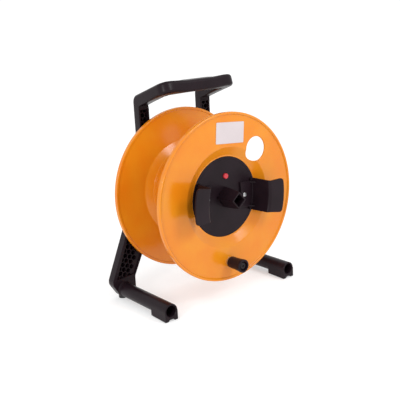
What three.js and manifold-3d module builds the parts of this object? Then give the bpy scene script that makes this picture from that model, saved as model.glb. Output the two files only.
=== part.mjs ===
// Empty cable drum on a one-sided carrying frame.
// Millimetres, +Z up, the crank side faces -Y. The drum turns about an axle along Y.
// Every piece is drawn round the axle, with y = 0 half way between the flanges,
// and the whole reel is then lifted so that its feet stand on z = 0.
import * as THREE from "three";
import { mergeVertices } from "three/addons/utils/BufferGeometryUtils.js";
import Module from "manifold-3d";

const wasm = await Module();
wasm.setup();

// ---- Sizes -------------------------------------------------------------------------------

// Clearances
const GAP = 0.3; // between two pieces that touch
const RUN = 0.35; // between a turning or sliding piece and what carries it

const OVERLAP = 1; // how far a cutter, or a body joined to another, reaches past the face it meets

const ROUND = 48; // sides of the large round pieces
const MEDIUM = 24; // sides of knobs, bosses and bolts
const SMALL = 16; // sides of small screws and their holes
const HEXAGON = 6;
const SQUARE = 4;
const CORNER_STEPS = 5; // steps in a rounded corner
const SAME_POINT = 1e-4;
const UP = 90; // degrees, from +X towards +Z

// Whole reel
const GROUND_CLEARANCE = 35.5; // from the ground to the flanges
const DRUM_TURN = 5; // degrees, how far the drum stands turned at rest

// Flanges and barrel
const FLANGE_R = 143;
const DRUM_WIDTH = 130; // over both rims
const RIM_THICK = 4; // radial thickness of the rolled rim
const RIM_LENGTH = 7.5;
const RIM_FACE_BEVEL = 1.2;
const RIM_EDGE_BEVEL = 1.5;
const RIM_TAPER = 1.2; // slant of the rim's inner side
const RIM_PROUD = 3; // how far the rim stands beyond the flange's plate
const FLANGE_WALL = 3;
const BOWL_R = 86; // where the plate turns in towards the barrel
const BOWL_DEPTH = 9;
const BARREL_R = 71;
const BARREL_WALL = 3;
const CABLE_HOLE_R = 21;
const CABLE_HOLE_AT = 98; // from the axle
const CABLE_HOLE_ANGLE = 53; // degrees, from +X towards +Z
const LABEL_WIDTH = 59.5;
const LABEL_HEIGHT = 35;
const LABEL_THICK = 0.6;
const LABEL_AT = 108.5;
const REAR_RIBS = 6;
const RIB_WALL = 3;
const RIB_HEIGHT = 7;

// Hub disc and what it carries
const DISC_R = 68.4;
const DISC_WALL = 3;
const DISC_EDGE_GAP = 0.6; // between the disc's edge and the flange
const DISC_EDGE_LAND = 1; // flat land of the flange round the disc
const DISC_SEAT = 8.4; // width of the flange's ring that the disc seats on
const DISC_BOSS_R = 14; // round the front bush
const DISC_BOSS_LENGTH = 16;
const HUB_BOSS_R = 20; // round the rear bush, in the rear flange
const HUB_BOSS_REAR = 12; // how far that boss stands behind the flange's web
const BUSH_WALL = 2.4;
const TIE_BOLTS = 4;
const TIE_BOLT_R = 2.4;
const TIE_HEAD_R = 4.6;
const TIE_HEAD_HEIGHT = 3.4;
const TIE_BOSS_R = 5.5;
const TIE_BOSS_LENGTH = 20;

// Square socket at the drum's centre
const SOCKET_TIP_SIDE = 20.8;
const SOCKET_BASE_SIDE = 26;
const SOCKET_LENGTH = 37;
const SOCKET_WALL = 2.4;
const SOCKET_FLOOR = 2;
const SOCKET_AXLE_GAP = 1.5; // from the axle's end to the socket's floor
const SOCKET_PEGS = 2;
const SOCKET_PEG_R = 1.6;
const SOCKET_PEG_AT = 14.5;

// Cable hooks
const HOOK_WALL = 3.5;
const HOOK_HEIGHT = 60;
const HOOK_FOOT_START = 33; // inner end of the foot, from the axle
const HOOK_FOOT_HEIGHT = 44;
const HOOK_INSET = 6.9; // from the disc's edge to the root of the web
const HOOK_SPLAY = 5; // how far the web leans outwards over its length
const HOOK_REACH = 42; // length of the web, forward of the disc
const HOOK_LIP = 29.7;
const HOOK_LIP_LEAN = 2; // how far the lip leans forward over its length
const HOOK_CORNER_R = 7;
const HOOK_SCREW_AT = 40.4;
const HOOK_SCREW_R = 2;
const HOOK_HEAD_R = 4;
const HOOK_HEAD_HEIGHT = 2.2;
const HOOK_SCREW_LENGTH = 12;
const HOOK_BOSS_R = 5;

// Drum lock: red button, rod, spring and the cup that guides them
const LOCK_AT = 35.5;
const BUTTON_R = 4.6;
const BUTTON_PROUD = 3;
const BUTTON_COLLAR = 1; // radial step that keeps the button in the disc
const BUTTON_COLLAR_THICK = 1.6;
const CUP_WALL = 2;
const CUP_LENGTH = 14;
const ROD_R = 2.2;
const SPRING_WIRE_R = 0.5;
const SPRING_TURNS = 5;
const WIRE_SIDES = 5;
const WIRE_STEPS = 10; // per turn

// Crank knob
const CRANK_AT = 112;
const CRANK_ANGLE = -86; // degrees, from +X towards +Z
const KNOB_BASE_R = 9.8;
const KNOB_TIP_R = 11.6;
const KNOB_LENGTH = 32;
const KNOB_RECESS_R = 8;
const KNOB_RECESS = 5;
const SPINDLE_R = 4;
const SPINDLE_COLLAR_R = 8.5;
const SPINDLE_COLLAR = 2.4;
const SPINDLE_STUD_R = 3;
const CRANK_NUT_R = 6.2;
const CRANK_NUT_HEIGHT = 4;
const CRANK_WASHER_R = 8;
const CRANK_WASHER = 1.2;
const KNOB_SCREW_R = 1.8;
const KNOB_SCREW_HEAD_R = 6;
const KNOB_SCREW_HEAD = 2.4;
const KNOB_SCREW_LENGTH = 14;

// Axle and its fittings
const AXLE_R = 6;
const AXLE_FLANGE_R = 13;
const AXLE_FLANGE = 3.5;
const AXLE_STUD_R = 5;
const AXLE_TIP = 1.6; // beyond the circlip
const AXLE_END_SINK = 2; // from the frame's rear face to the stud's end
const AXLE_NUT_R = 9.8;
const AXLE_NUT_HEIGHT = 6;
const AXLE_WASHER_R = 11.5;
const AXLE_WASHER = 1.6;
const THRUST_WASHER_R = 13;
const THRUST_WASHER = 2;
const KEEPER_R = 9.8; // washer in front of the front bush
const KEEPER = 1.4;
const CIRCLIP_R = 8.4;
const CIRCLIP = 1.2;
const CIRCLIP_GROOVE = 0.8;
const CIRCLIP_MOUTH = 4;
const GROOVE_PLAY = 0.1; // on each side of the circlip

// Lock ring on the frame
const LOCK_RING_WIDTH = 12;
const LOCK_RING = 3;
const LOCK_HOLES = 8;
const LOCK_HOLE_R = 2.9;
const LOCK_SCREWS = 2;
const LOCK_SCREW_R = 1.5;
const LOCK_SCREW_HEAD_R = 2.9;
const LOCK_SCREW_LENGTH = 10;

// Frame
const FRAME_CLEARANCE = 5; // from the rear rim to the frame
const FRAME_DEPTH = 19;
const FRAME_HALF_WIDTH = 76.5;
const UPRIGHT_WIDTH = 20;
const BEND_OUTER = 40; // height of the outer bend above the axle
const BEND_OUTER_R = 12;
const BEND_INNER = 35; // depth of the inner bend below the axle
const BEND_INNER_R = 16;
const FRAME_WALL = 3.2;
const POCKET_DEPTH = 15;
const RIB_PITCH = 24;
const FRAME_RIB = 2.4;
const CROSS_HEIGHT = 64;
const CROSS_DEPTH = 15;
const FRAME_BOSS_R = 45;
const NUT_POCKET_DEPTH = 10;
const NUT_POCKET_R = 13;

// Feet
const FOOT_HALF_SPREAD = 133.4;
const FOOT_TUBE_HEIGHT = 17.1; // tube's axis above the ground
const FOOT_TUBE_R = 12.5;
const FOOT_BORE_R = 9.5;
const FOOT_REACH = 136; // how far the tube stands in front of the frame
const FOOT_BORE_DEPTH = 126;
const TOE_LENGTH = 40;
const TOE_STEP = 3.5; // how far the toe's rear end reaches below the tube
const TOE_NOTCH_WIDTH = 15;
const TOE_NOTCH = 3.2;
const HEEL_WIDTH = 46.1;
const HEEL_HEIGHT = 36; // where the heel's sides meet the leg, above the ground
const HEEL_LIFT = 4.5; // heel's underside above the ground
const HEEL_CUT_WIDTH = 15; // slanted cut across the heel's outer lower corner
const HEEL_CUT_HEIGHT = 24;
const HEEL_CUT_R = 10;
const HEEL_SIDE_R = 8;
const HEEL_INNER_R = 14;
const PAD_R = 7.5;
const PAD_SEAT = 4;

// Handle
const HANDLE_CLEARANCE = 25.2; // from the top of the flanges to the handle's rear top corner
const ARM_SLOPE = 18; // degrees
const ARM_CORNER_R = 9;
const ARM_HEIGHT = 20.4; // square to the arm's length
const GRIP_REACH = 75; // from the frame's front face to the front of the grip
const GRIP_DEPTH = 21;
const GRIP_HEIGHT = 20;
const GRIP_EDGE_R = 7; // rounding along the arms and the grip
const HANDLE_CORNER_R = 16;

// ---- Places along the axle ----------------------------------------------------------------

const RIM_FACE = DRUM_WIDTH / 2;
const PLATE_FACE = RIM_FACE - RIM_PROUD;
const PLATE_BACK = PLATE_FACE - FLANGE_WALL;
const DISC_FACE = PLATE_FACE - BOWL_DEPTH;
const DISC_BACK = DISC_FACE - DISC_WALL;
const SEAT_FACE = DISC_BACK - GAP;
const SEAT_BACK = SEAT_FACE - FLANGE_WALL;
const BARREL_END = SEAT_BACK - GAP;
const FRAME_FRONT = RIM_FACE + FRAME_CLEARANCE;
const FRAME_REAR = FRAME_FRONT + FRAME_DEPTH;
const AXLE_FLANGE_FRONT = FRAME_FRONT - GAP - AXLE_FLANGE;
const THRUST_FRONT = AXLE_FLANGE_FRONT - GAP - THRUST_WASHER;
const HUB_REAR = SEAT_FACE + HUB_BOSS_REAR;
const REAR_BUSH_REAR = THRUST_FRONT - RUN;
const KEEPER_REAR = -DISC_FACE - GAP;
const KEEPER_FRONT = KEEPER_REAR - KEEPER;
const CIRCLIP_REAR = KEEPER_FRONT - GAP;
const CIRCLIP_FRONT = CIRCLIP_REAR - CIRCLIP;
const AXLE_FRONT = CIRCLIP_FRONT - AXLE_TIP;
const LOCK_RING_REAR = FRAME_FRONT - GAP;
const LOCK_RING_FRONT = LOCK_RING_REAR - LOCK_RING;
const AXLE_HEIGHT = FLANGE_R + GROUND_CLEARANCE;
const GROUND = -AXLE_HEIGHT;
const HANDLE_CORNER = FLANGE_R + HANDLE_CLEARANCE;
const BUSH_R = AXLE_R + RUN + BUSH_WALL;
const DISC_POCKET_R = DISC_R + DISC_EDGE_GAP;
const SEAT_INNER_R = DISC_R - DISC_SEAT;
const TIE_BOLT_AT = SEAT_INNER_R - TIE_BOSS_R - 2 * GAP;
const HOOK_ROOT = DISC_R - HOOK_INSET;
const HOOK_FOLD = HOOK_ROOT + HOOK_SPLAY;

// ---- Materials ----------------------------------------------------------------------------

function paint(color, roughness, metalness = 0) {
  return new THREE.MeshStandardMaterial({ color, roughness, metalness });
}
const ORANGE = paint(0xf08a2c, 0.3);
const BLACK = paint(0x2b2529, 0.5);
const RUBBER = paint(0x1d1b1c, 0.85);
const STEEL = paint(0xb9bcc0, 0.3, 1);
const NYLON = paint(0xd9d5c8, 0.55);
const RED = paint(0xc0303a, 0.4);
const PAPER = paint(0xe4e0e6, 0.6);

// ---- Solids -------------------------------------------------------------------------------

// A closed three.js geometry as a manifold solid.
function solid(geometry) {
  geometry.deleteAttribute("normal");
  geometry.deleteAttribute("uv");
  const merged = mergeVertices(geometry, SAME_POINT);
  const corners = merged.index.array;
  const kept = [];
  for (let i = 0; i < corners.length; i += 3) {
    const [a, b, c] = corners.slice(i, i + 3);
    if (a !== b && b !== c && c !== a) kept.push(a, b, c);
  }
  const vertProperties = new Float32Array(merged.attributes.position.array);
  const mesh = new wasm.Mesh({ numProp: 3, vertProperties, triVerts: new Uint32Array(kept) });
  return new wasm.Manifold(mesh);
}

// A manifold solid as a three.js mesh.
function piece(name, body, material) {
  const { vertProperties, triVerts } = body.getMesh();
  const geometry = new THREE.BufferGeometry();
  geometry.setAttribute("position", new THREE.BufferAttribute(new Float32Array(vertProperties), 3));
  geometry.setIndex(new THREE.BufferAttribute(new Uint32Array(triVerts), 1));
  geometry.computeVertexNormals();
  const mesh = new THREE.Mesh(geometry, material);
  mesh.name = name;
  return mesh;
}

function rod(radius, y0, y1, x = 0, z = 0, sides = MEDIUM) {
  const geometry = new THREE.CylinderGeometry(radius, radius, Math.abs(y1 - y0), sides);
  return solid(geometry.translate(x, (y0 + y1) / 2, z));
}

function tube(outer, inner, y0, y1, x = 0, z = 0, sides = MEDIUM) {
  return rod(outer, y0, y1, x, z, sides).subtract(rod(inner, y0 - OVERLAP, y1 + OVERLAP, x, z, sides));
}

function block(x0, x1, y0, y1, z0, z1) {
  const geometry = new THREE.BoxGeometry(x1 - x0, y1 - y0, z1 - z0);
  return solid(geometry.translate((x0 + x1) / 2, (y0 + y1) / 2, (z0 + z1) / 2));
}

// A ring turned about the axle from a closed list of [radius, y].
function turned(profile, sides = ROUND) {
  const points = profile.map(([r, y]) => new THREE.Vector2(r, y));
  if (THREE.ShapeUtils.area(points) < 0) points.reverse();
  points.push(points[0].clone());
  return solid(new THREE.LatheGeometry(points, sides));
}

// A flat outline from [u, v, corner radius] points, its corners rounded where the radius is given.
function outline(points) {
  const shape = new THREE.Shape();
  points.forEach(([u, v, radius = 0], i) => {
    const corner = new THREE.Vector2(u, v);
    const before = new THREE.Vector2(...points.at(i - 1).slice(0, 2)).sub(corner);
    const after = new THREE.Vector2(...points[(i + 1) % points.length].slice(0, 2)).sub(corner);
    const limit = Math.min(before.length(), after.length()) / 2;
    const half = before.angleTo(after) / 2;
    const back = Math.min(radius / Math.tan(half), limit);
    const start = before.setLength(back).add(corner);
    const end = after.setLength(back).add(corner);
    if (i === 0) shape.moveTo(start.x, start.y);
    else shape.lineTo(start.x, start.y);
    if (radius > 0) shape.quadraticCurveTo(u, v, end.x, end.y);
  });
  shape.closePath();
  return shape;
}

const ALONG_X = new THREE.Matrix4().set(0, 0, 1, 0, 1, 0, 0, 0, 0, 1, 0, 0, 0, 0, 0, 1);
const ALONG_Y = new THREE.Matrix4().makeRotationX(Math.PI / 2);

function extruded(points, depth) {
  const settings = { depth, bevelEnabled: false, curveSegments: CORNER_STEPS };
  return new THREE.ExtrudeGeometry(outline(points), settings);
}

// Outlines drawn in y-z, x-z and x-y, pushed along the remaining axis.
function prismX(points, x0, x1) {
  return solid(extruded(points, x1 - x0).applyMatrix4(ALONG_X).translate(x0, 0, 0));
}

function prismY(points, y0, y1) {
  return solid(extruded(points, y1 - y0).applyMatrix4(ALONG_Y).translate(0, y1, 0));
}

function prismZ(points, z0, z1) {
  return solid(extruded(points, z1 - z0).translate(0, 0, z0));
}

function roundedBox(u0, u1, v0, v1, radius) {
  return [
    [u0, v0, radius],
    [u1, v0, radius],
    [u1, v1, radius],
    [u0, v1, radius],
  ];
}

// A strip of even thickness along a list of [u, v] points.
function ribbon(path, thickness) {
  const points = path.map(([u, v]) => new THREE.Vector2(u, v));
  const sides = [[], []];
  points.forEach((point, i) => {
    const before = point.clone().sub(points[Math.max(i - 1, 0)]).normalize();
    const after = points[Math.min(i + 1, points.length - 1)].clone().sub(point).normalize();
    const along = before.clone().add(after).normalize();
    const across = new THREE.Vector2(-along.y, along.x);
    const leg = i === 0 ? after : before;
    const reach = thickness / 2 / Math.abs(across.dot(new THREE.Vector2(-leg.y, leg.x)));
    sides[0].push([point.x + across.x * reach, point.y + across.y * reach]);
    sides[1].unshift([point.x - across.x * reach, point.y - across.y * reach]);
  });
  return [...sides[0], ...sides[1]];
}

// A closed outline moved inwards by a wall's thickness.
function inset(points, wall) {
  const corners = points.map(([u, v]) => new THREE.Vector2(u, v));
  const turn = Math.sign(THREE.ShapeUtils.area(corners));
  return corners.map((corner, i) => {
    const before = corner.clone().sub(corners.at(i - 1)).normalize();
    const after = corners[(i + 1) % corners.length].clone().sub(corner).normalize();
    const across = new THREE.Vector2(-before.y - after.y, before.x + after.x).normalize();
    const reach = (turn * wall) / across.dot(new THREE.Vector2(-before.y, before.x));
    return [corner.x + across.x * reach, corner.y + across.y * reach, points[i][2] ?? 0];
  });
}

function spot(radius, degrees) {
  const angle = THREE.MathUtils.degToRad(degrees);
  return [radius * Math.cos(angle), radius * Math.sin(angle)];
}

function spread(count, first = 0) {
  return Array.from({ length: count }, (_, i) => first + (360 / count) * i);
}

// ---- Frame --------------------------------------------------------------------------------

// Upright, leg and heel of one side, seen from the front; side is -1 on the left, 1 on the right.
function sideOutline(side) {
  const inner = FRAME_HALF_WIDTH - UPRIGHT_WIDTH;
  const heelIn = FOOT_HALF_SPREAD - HEEL_WIDTH / 2;
  const heelOut = FOOT_HALF_SPREAD + HEEL_WIDTH / 2;
  const heelTop = GROUND + HEEL_HEIGHT;
  const heelBottom = GROUND + HEEL_LIFT;
  return [
    [side * FRAME_HALF_WIDTH, HANDLE_CORNER - UPRIGHT_WIDTH],
    [side * FRAME_HALF_WIDTH, BEND_OUTER, BEND_OUTER_R],
    [side * heelOut, heelTop, HEEL_SIDE_R],
    [side * heelOut, heelBottom + HEEL_CUT_HEIGHT, HEEL_SIDE_R],
    [side * (heelOut - HEEL_CUT_WIDTH), heelBottom, HEEL_CUT_R],
    [side * heelIn, heelBottom, HEEL_INNER_R],
    [side * heelIn, heelTop, HEEL_SIDE_R],
    [side * inner, -BEND_INNER, BEND_INNER_R],
    [side * inner, HANDLE_CORNER - UPRIGHT_WIDTH],
  ];
}

// The pockets between the ribs of one side, open to the front.
function sidePockets(side) {
  const walls = inset(sideOutline(side), FRAME_WALL);
  const hollow = prismY(walls, FRAME_FRONT - OVERLAP, FRAME_FRONT + POCKET_DEPTH);
  const bottom = GROUND + HEEL_HEIGHT;
  const bands = Math.floor((HANDLE_CORNER - UPRIGHT_WIDTH - bottom) / RIB_PITCH);
  const reach = FOOT_HALF_SPREAD + HEEL_WIDTH;
  const pockets = [];
  for (let i = 0; i < bands; i += 1) {
    const z0 = bottom + i * RIB_PITCH;
    const band = block(-reach, reach, FRAME_FRONT - 2 * OVERLAP, FRAME_REAR, z0, z0 + RIB_PITCH - FRAME_RIB);
    pockets.push(hollow.intersect(band));
  }
  return pockets;
}

// Two arms that lean forward from the uprights, and the grip across their ends.
function handle() {
  const slope = THREE.MathUtils.degToRad(ARM_SLOPE);
  const upright = ARM_HEIGHT / Math.cos(slope);
  const middleAt = (y) => HANDLE_CORNER + (FRAME_REAR - y) * Math.tan(slope) - upright / 2;
  const gripFront = FRAME_FRONT - GRIP_REACH;
  const gripRear = gripFront + GRIP_DEPTH;
  const gripMiddle = (gripFront + gripRear) / 2;
  const gripZ = middleAt(gripMiddle);
  const root = HANDLE_CORNER - upright - UPRIGHT_WIDTH;
  const elbow = [
    [FRAME_REAR, root],
    [FRAME_REAR, HANDLE_CORNER, ARM_CORNER_R],
    [FRAME_FRONT, middleAt(FRAME_FRONT) + upright / 2],
    [FRAME_FRONT, middleAt(FRAME_FRONT) - upright / 2],
    [FRAME_FRONT, root],
  ];
  const gripLow = gripZ - GRIP_HEIGHT / 2;
  const gripTop = gripZ + GRIP_HEIGHT / 2;
  const grip = roundedBox(gripFront, gripRear, gripLow, gripTop, GRIP_EDGE_R);
  const ends = roundedBox(-FRAME_HALF_WIDTH, FRAME_HALF_WIDTH, gripLow, gripTop, GRIP_EDGE_R);
  const plan = [
    [-FRAME_HALF_WIDTH, FRAME_REAR + OVERLAP],
    [-FRAME_HALF_WIDTH, gripFront, HANDLE_CORNER_R],
    [FRAME_HALF_WIDTH, gripFront, HANDLE_CORNER_R],
    [FRAME_HALF_WIDTH, FRAME_REAR + OVERLAP],
  ];
  const armStart = (gripFront - ARM_HEIGHT) / Math.cos(slope);
  const armEnd = FRAME_FRONT / Math.cos(slope) + OVERLAP;
  let body = prismX(grip, -FRAME_HALF_WIDTH, FRAME_HALF_WIDTH).intersect(prismY(ends, gripFront, gripRear));
  for (const side of [-1, 1]) {
    const outer = side * FRAME_HALF_WIDTH;
    const inner = side * (FRAME_HALF_WIDTH - UPRIGHT_WIDTH);
    const [x0, x1] = [Math.min(outer, inner), Math.max(outer, inner)];
    const section = roundedBox(x0, x1, -ARM_HEIGHT / 2, ARM_HEIGHT / 2, GRIP_EDGE_R);
    const arm = prismY(section, armStart, armEnd)
      .rotate([-ARM_SLOPE, 0, 0])
      .translate([0, 0, middleAt(0)])
      .trimByPlane([0, 1, 0], gripMiddle);
    body = body.add(prismX(elbow, x0, x1)).add(arm);
  }
  return body.intersect(prismZ(plan, root - OVERLAP, gripTop + ARM_HEIGHT));
}

// Foot tube of one side with the toe under its front end.
function foot(side) {
  const x = side * FOOT_HALF_SPREAD;
  const z = GROUND + FOOT_TUBE_HEIGHT;
  const front = FRAME_FRONT - FOOT_REACH;
  const toe = [
    [front, z],
    [front, GROUND],
    [front + TOE_LENGTH, z - FOOT_TUBE_R - TOE_STEP],
    [front + TOE_LENGTH, z],
  ];
  const notch = [
    [x - TOE_NOTCH_WIDTH / 2, GROUND - OVERLAP],
    [x + TOE_NOTCH_WIDTH / 2, GROUND - OVERLAP],
    [x + TOE_NOTCH_WIDTH / 4, GROUND + TOE_NOTCH],
    [x - TOE_NOTCH_WIDTH / 4, GROUND + TOE_NOTCH],
  ];
  return rod(FOOT_TUBE_R, front, FRAME_FRONT + FRAME_WALL, x, z)
    .add(prismX(toe, x - FOOT_TUBE_R, x + FOOT_TUBE_R))
    .subtract(prismY(notch, front - OVERLAP, front + TOE_LENGTH + OVERLAP));
}

function footBore(side) {
  const front = FRAME_FRONT - FOOT_REACH;
  const z = GROUND + FOOT_TUBE_HEIGHT;
  return rod(FOOT_BORE_R, front - OVERLAP, front + FOOT_BORE_DEPTH, side * FOOT_HALF_SPREAD, z);
}

function padSocket(side) {
  const geometry = new THREE.CylinderGeometry(PAD_R + GAP, PAD_R + GAP, PAD_SEAT + GAP, ROUND);
  geometry.rotateX(Math.PI / 2);
  const y = FRAME_FRONT + FRAME_DEPTH / 2;
  return solid(geometry.translate(side * FOOT_HALF_SPREAD, y, GROUND + HEEL_LIFT + (PAD_SEAT + GAP) / 2));
}

function frame() {
  const inner = FRAME_HALF_WIDTH - UPRIGHT_WIDTH / 2;
  const half = CROSS_HEIGHT / 2;
  const crossFront = FRAME_REAR - CROSS_DEPTH;
  let body = block(-inner, inner, crossFront, FRAME_REAR, -half, half).add(handle());
  for (const side of [-1, 1]) {
    body = body.add(prismY(sideOutline(side), FRAME_FRONT, FRAME_REAR)).add(foot(side));
  }
  for (const side of [-1, 1]) {
    for (const pocket of sidePockets(side)) body = body.subtract(pocket);
    body = body.subtract(footBore(side)).subtract(padSocket(side));
  }
  body = body
    .add(rod(FRAME_BOSS_R, FRAME_FRONT, FRAME_REAR, 0, 0, ROUND))
    .subtract(rod(AXLE_STUD_R + GAP, FRAME_FRONT - OVERLAP, FRAME_REAR + OVERLAP))
    .subtract(rod(NUT_POCKET_R, FRAME_REAR - NUT_POCKET_DEPTH, FRAME_REAR + OVERLAP));
  for (const [x, z] of lockScrewSpots()) {
    const hole = rod(LOCK_SCREW_R + GAP, FRAME_FRONT - OVERLAP, FRAME_FRONT + LOCK_SCREW_LENGTH, x, z, SMALL);
    body = body.subtract(hole);
  }
  return piece("frame", body, BLACK);
}

function heelPad(name, side) {
  const height = HEEL_LIFT + PAD_SEAT;
  const geometry = new THREE.CylinderGeometry(PAD_R, PAD_R, height, ROUND).rotateX(Math.PI / 2);
  const y = FRAME_FRONT + FRAME_DEPTH / 2;
  return piece(name, solid(geometry.translate(side * FOOT_HALF_SPREAD, y, GROUND + height / 2)), RUBBER);
}

// ---- Axle, washers and lock ring ------------------------------------------------------------

function axle() {
  const shaft = rod(AXLE_R, AXLE_FRONT, AXLE_FLANGE_FRONT + OVERLAP);
  const grooveEnds = [CIRCLIP_FRONT - GROOVE_PLAY, CIRCLIP_REAR + GROOVE_PLAY];
  const groove = tube(AXLE_R + OVERLAP, AXLE_R - CIRCLIP_GROOVE, ...grooveEnds);
  const flange = rod(AXLE_FLANGE_R, AXLE_FLANGE_FRONT, AXLE_FLANGE_FRONT + AXLE_FLANGE);
  const stud = rod(AXLE_STUD_R, FRAME_FRONT - OVERLAP, FRAME_REAR - AXLE_END_SINK);
  return piece("axle", shaft.subtract(groove).add(flange).add(stud), STEEL);
}

function axleWasher() {
  const front = FRAME_REAR - NUT_POCKET_DEPTH + GAP;
  return piece("axle_washer", tube(AXLE_WASHER_R, AXLE_STUD_R + GAP, front, front + AXLE_WASHER), STEEL);
}

function axleNut() {
  const front = FRAME_REAR - NUT_POCKET_DEPTH + GAP + AXLE_WASHER + GAP;
  const rear = front + AXLE_NUT_HEIGHT;
  const hexagon = rod(AXLE_NUT_R, front, rear, 0, 0, HEXAGON);
  return piece("axle_nut", hexagon.subtract(rod(AXLE_STUD_R + GAP, front - OVERLAP, rear + OVERLAP)), STEEL);
}

function thrustWasher() {
  const ring = tube(THRUST_WASHER_R, AXLE_R + RUN, THRUST_FRONT, THRUST_FRONT + THRUST_WASHER);
  return piece("thrust_washer", ring, NYLON);
}

function keeperWasher() {
  return piece("keeper_washer", tube(KEEPER_R, AXLE_R + GAP, KEEPER_FRONT, KEEPER_REAR), STEEL);
}

function circlip() {
  const ring = tube(CIRCLIP_R, AXLE_R - CIRCLIP_GROOVE + GAP, CIRCLIP_FRONT, CIRCLIP_REAR);
  const half = CIRCLIP_MOUTH / 2;
  const mouth = block(-half, half, CIRCLIP_FRONT - OVERLAP, CIRCLIP_REAR + OVERLAP, 0, AXLE_R * 2);
  return piece("circlip", ring.subtract(mouth), STEEL);
}

function lockScrewSpots() {
  const first = UP - DRUM_TURN + 180 / LOCK_HOLES + 180 / LOCK_SCREWS;
  return spread(LOCK_SCREWS, first).map((angle) => spot(LOCK_AT, angle));
}

// The ring's holes line up with the rod when the drum stands at rest.
function lockRing() {
  const outer = LOCK_AT + LOCK_RING_WIDTH / 2;
  let ring = tube(outer, outer - LOCK_RING_WIDTH, LOCK_RING_FRONT, LOCK_RING_REAR, 0, 0, ROUND);
  for (const angle of spread(LOCK_HOLES, UP - DRUM_TURN)) {
    const [x, z] = spot(LOCK_AT, angle);
    ring = ring.subtract(rod(LOCK_HOLE_R, LOCK_RING_FRONT - OVERLAP, LOCK_RING_REAR + OVERLAP, x, z, SMALL));
  }
  for (const [x, z] of lockScrewSpots()) {
    const mouth = rod(LOCK_SCREW_HEAD_R + GAP, LOCK_RING_FRONT - OVERLAP, LOCK_RING_FRONT + GAP, x, z, SMALL);
    ring = ring.subtract(lockScrewBody(x, z, GAP)).subtract(mouth);
  }
  return piece("lock_ring", ring, STEEL);
}

// Countersunk screw, grown by a clearance where it is used as a cutter.
function lockScrewBody(x, z, grow) {
  const height = LOCK_SCREW_HEAD_R - LOCK_SCREW_R;
  const front = LOCK_RING_FRONT + GAP;
  const head = new THREE.CylinderGeometry(LOCK_SCREW_R + grow, LOCK_SCREW_HEAD_R + grow, height, SMALL);
  return solid(head.translate(x, front + height / 2, z))
    .add(rod(LOCK_SCREW_R + grow, front + height / 2, LOCK_RING_FRONT + LOCK_SCREW_LENGTH, x, z, SMALL));
}

function lockScrew(name, [x, z]) {
  return piece(name, lockScrewBody(x, z, 0), STEEL);
}

// ---- Drum ---------------------------------------------------------------------------------

// Half section of a flange; way is -1 for the front one and 1 for the rear one.
function flangeProfile(way, seatInner) {
  const rimBack = RIM_FACE - RIM_LENGTH;
  const rimWall = RIM_THICK - RIM_TAPER / 2;
  const landR = DISC_POCKET_R + DISC_EDGE_LAND;
  const slope = BOWL_DEPTH / (BOWL_R - landR);
  const wallShift = FLANGE_WALL * (Math.hypot(1, slope) - 1) / slope;
  const innerFoot = PLATE_BACK - (BOWL_R - wallShift - BARREL_R) * slope;
  const profile = [
    [FLANGE_R - RIM_FACE_BEVEL, RIM_FACE],
    [FLANGE_R, RIM_FACE - RIM_EDGE_BEVEL],
    [FLANGE_R, rimBack],
    [FLANGE_R - rimWall, rimBack],
    [FLANGE_R - rimWall - RIM_TAPER, PLATE_BACK],
    [BOWL_R - wallShift, PLATE_BACK],
    [BARREL_R + GAP, innerFoot],
    [BARREL_R + GAP, SEAT_BACK],
    [seatInner, SEAT_BACK],
    [seatInner, SEAT_FACE],
    [DISC_POCKET_R, SEAT_FACE],
    [DISC_POCKET_R, DISC_FACE],
    [landR, DISC_FACE],
    [BOWL_R, PLATE_FACE],
    [FLANGE_R - rimWall - RIM_TAPER, PLATE_FACE],
    [FLANGE_R - rimWall, RIM_FACE],
  ];
  return profile.map(([r, y]) => [r, y * way]);
}

function frontFlange() {
  const [holeX, holeZ] = spot(CABLE_HOLE_AT, CABLE_HOLE_ANGLE);
  const [crankX, crankZ] = spot(CRANK_AT, CRANK_ANGLE);
  const body = turned(flangeProfile(-1, SEAT_INNER_R))
    .subtract(rod(CABLE_HOLE_R, -RIM_FACE - OVERLAP, -SEAT_BACK, holeX, holeZ, ROUND))
    .subtract(rod(SPINDLE_STUD_R + GAP, -RIM_FACE, -SEAT_BACK, crankX, crankZ));
  return piece("front_flange", body, ORANGE);
}

function rearFlange() {
  const bore = BUSH_R + GAP;
  let body = turned(flangeProfile(1, bore));
  body = body.add(tube(HUB_BOSS_R, bore, SEAT_BACK, HUB_REAR, 0, 0, ROUND));
  for (const angle of spread(REAR_RIBS)) {
    const geometry = new THREE.BoxGeometry(DISC_R - HUB_BOSS_R, RIB_HEIGHT, RIB_WALL);
    const middle = (DISC_R + HUB_BOSS_R) / 2 - OVERLAP;
    geometry.translate(middle, SEAT_FACE + RIB_HEIGHT / 2 - OVERLAP, 0);
    body = body.add(solid(geometry.rotateY(THREE.MathUtils.degToRad(angle))));
  }
  const [lockX, lockZ] = spot(LOCK_AT, UP);
  body = body.subtract(rod(ROD_R + RUN, SEAT_BACK - OVERLAP, SEAT_FACE + OVERLAP, lockX, lockZ));
  for (const [x, z] of tieSpots()) {
    body = body.subtract(rod(TIE_BOLT_R + GAP, SEAT_BACK - OVERLAP, SEAT_FACE + OVERLAP, x, z));
  }
  return piece("rear_flange", body, ORANGE);
}

function barrel() {
  const body = tube(BARREL_R, BARREL_R - BARREL_WALL, -BARREL_END, BARREL_END, 0, 0, ROUND);
  return piece("barrel", body, ORANGE);
}

function label() {
  const y = -PLATE_FACE - GAP;
  const [half, z] = [LABEL_WIDTH / 2, LABEL_AT - LABEL_HEIGHT / 2];
  const body = block(-half, half, y - LABEL_THICK, y, z, z + LABEL_HEIGHT);
  return piece("label", body, PAPER);
}

function tieSpots() {
  return spread(TIE_BOLTS, 180 / TIE_BOLTS).map((angle) => spot(TIE_BOLT_AT, angle));
}

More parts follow.
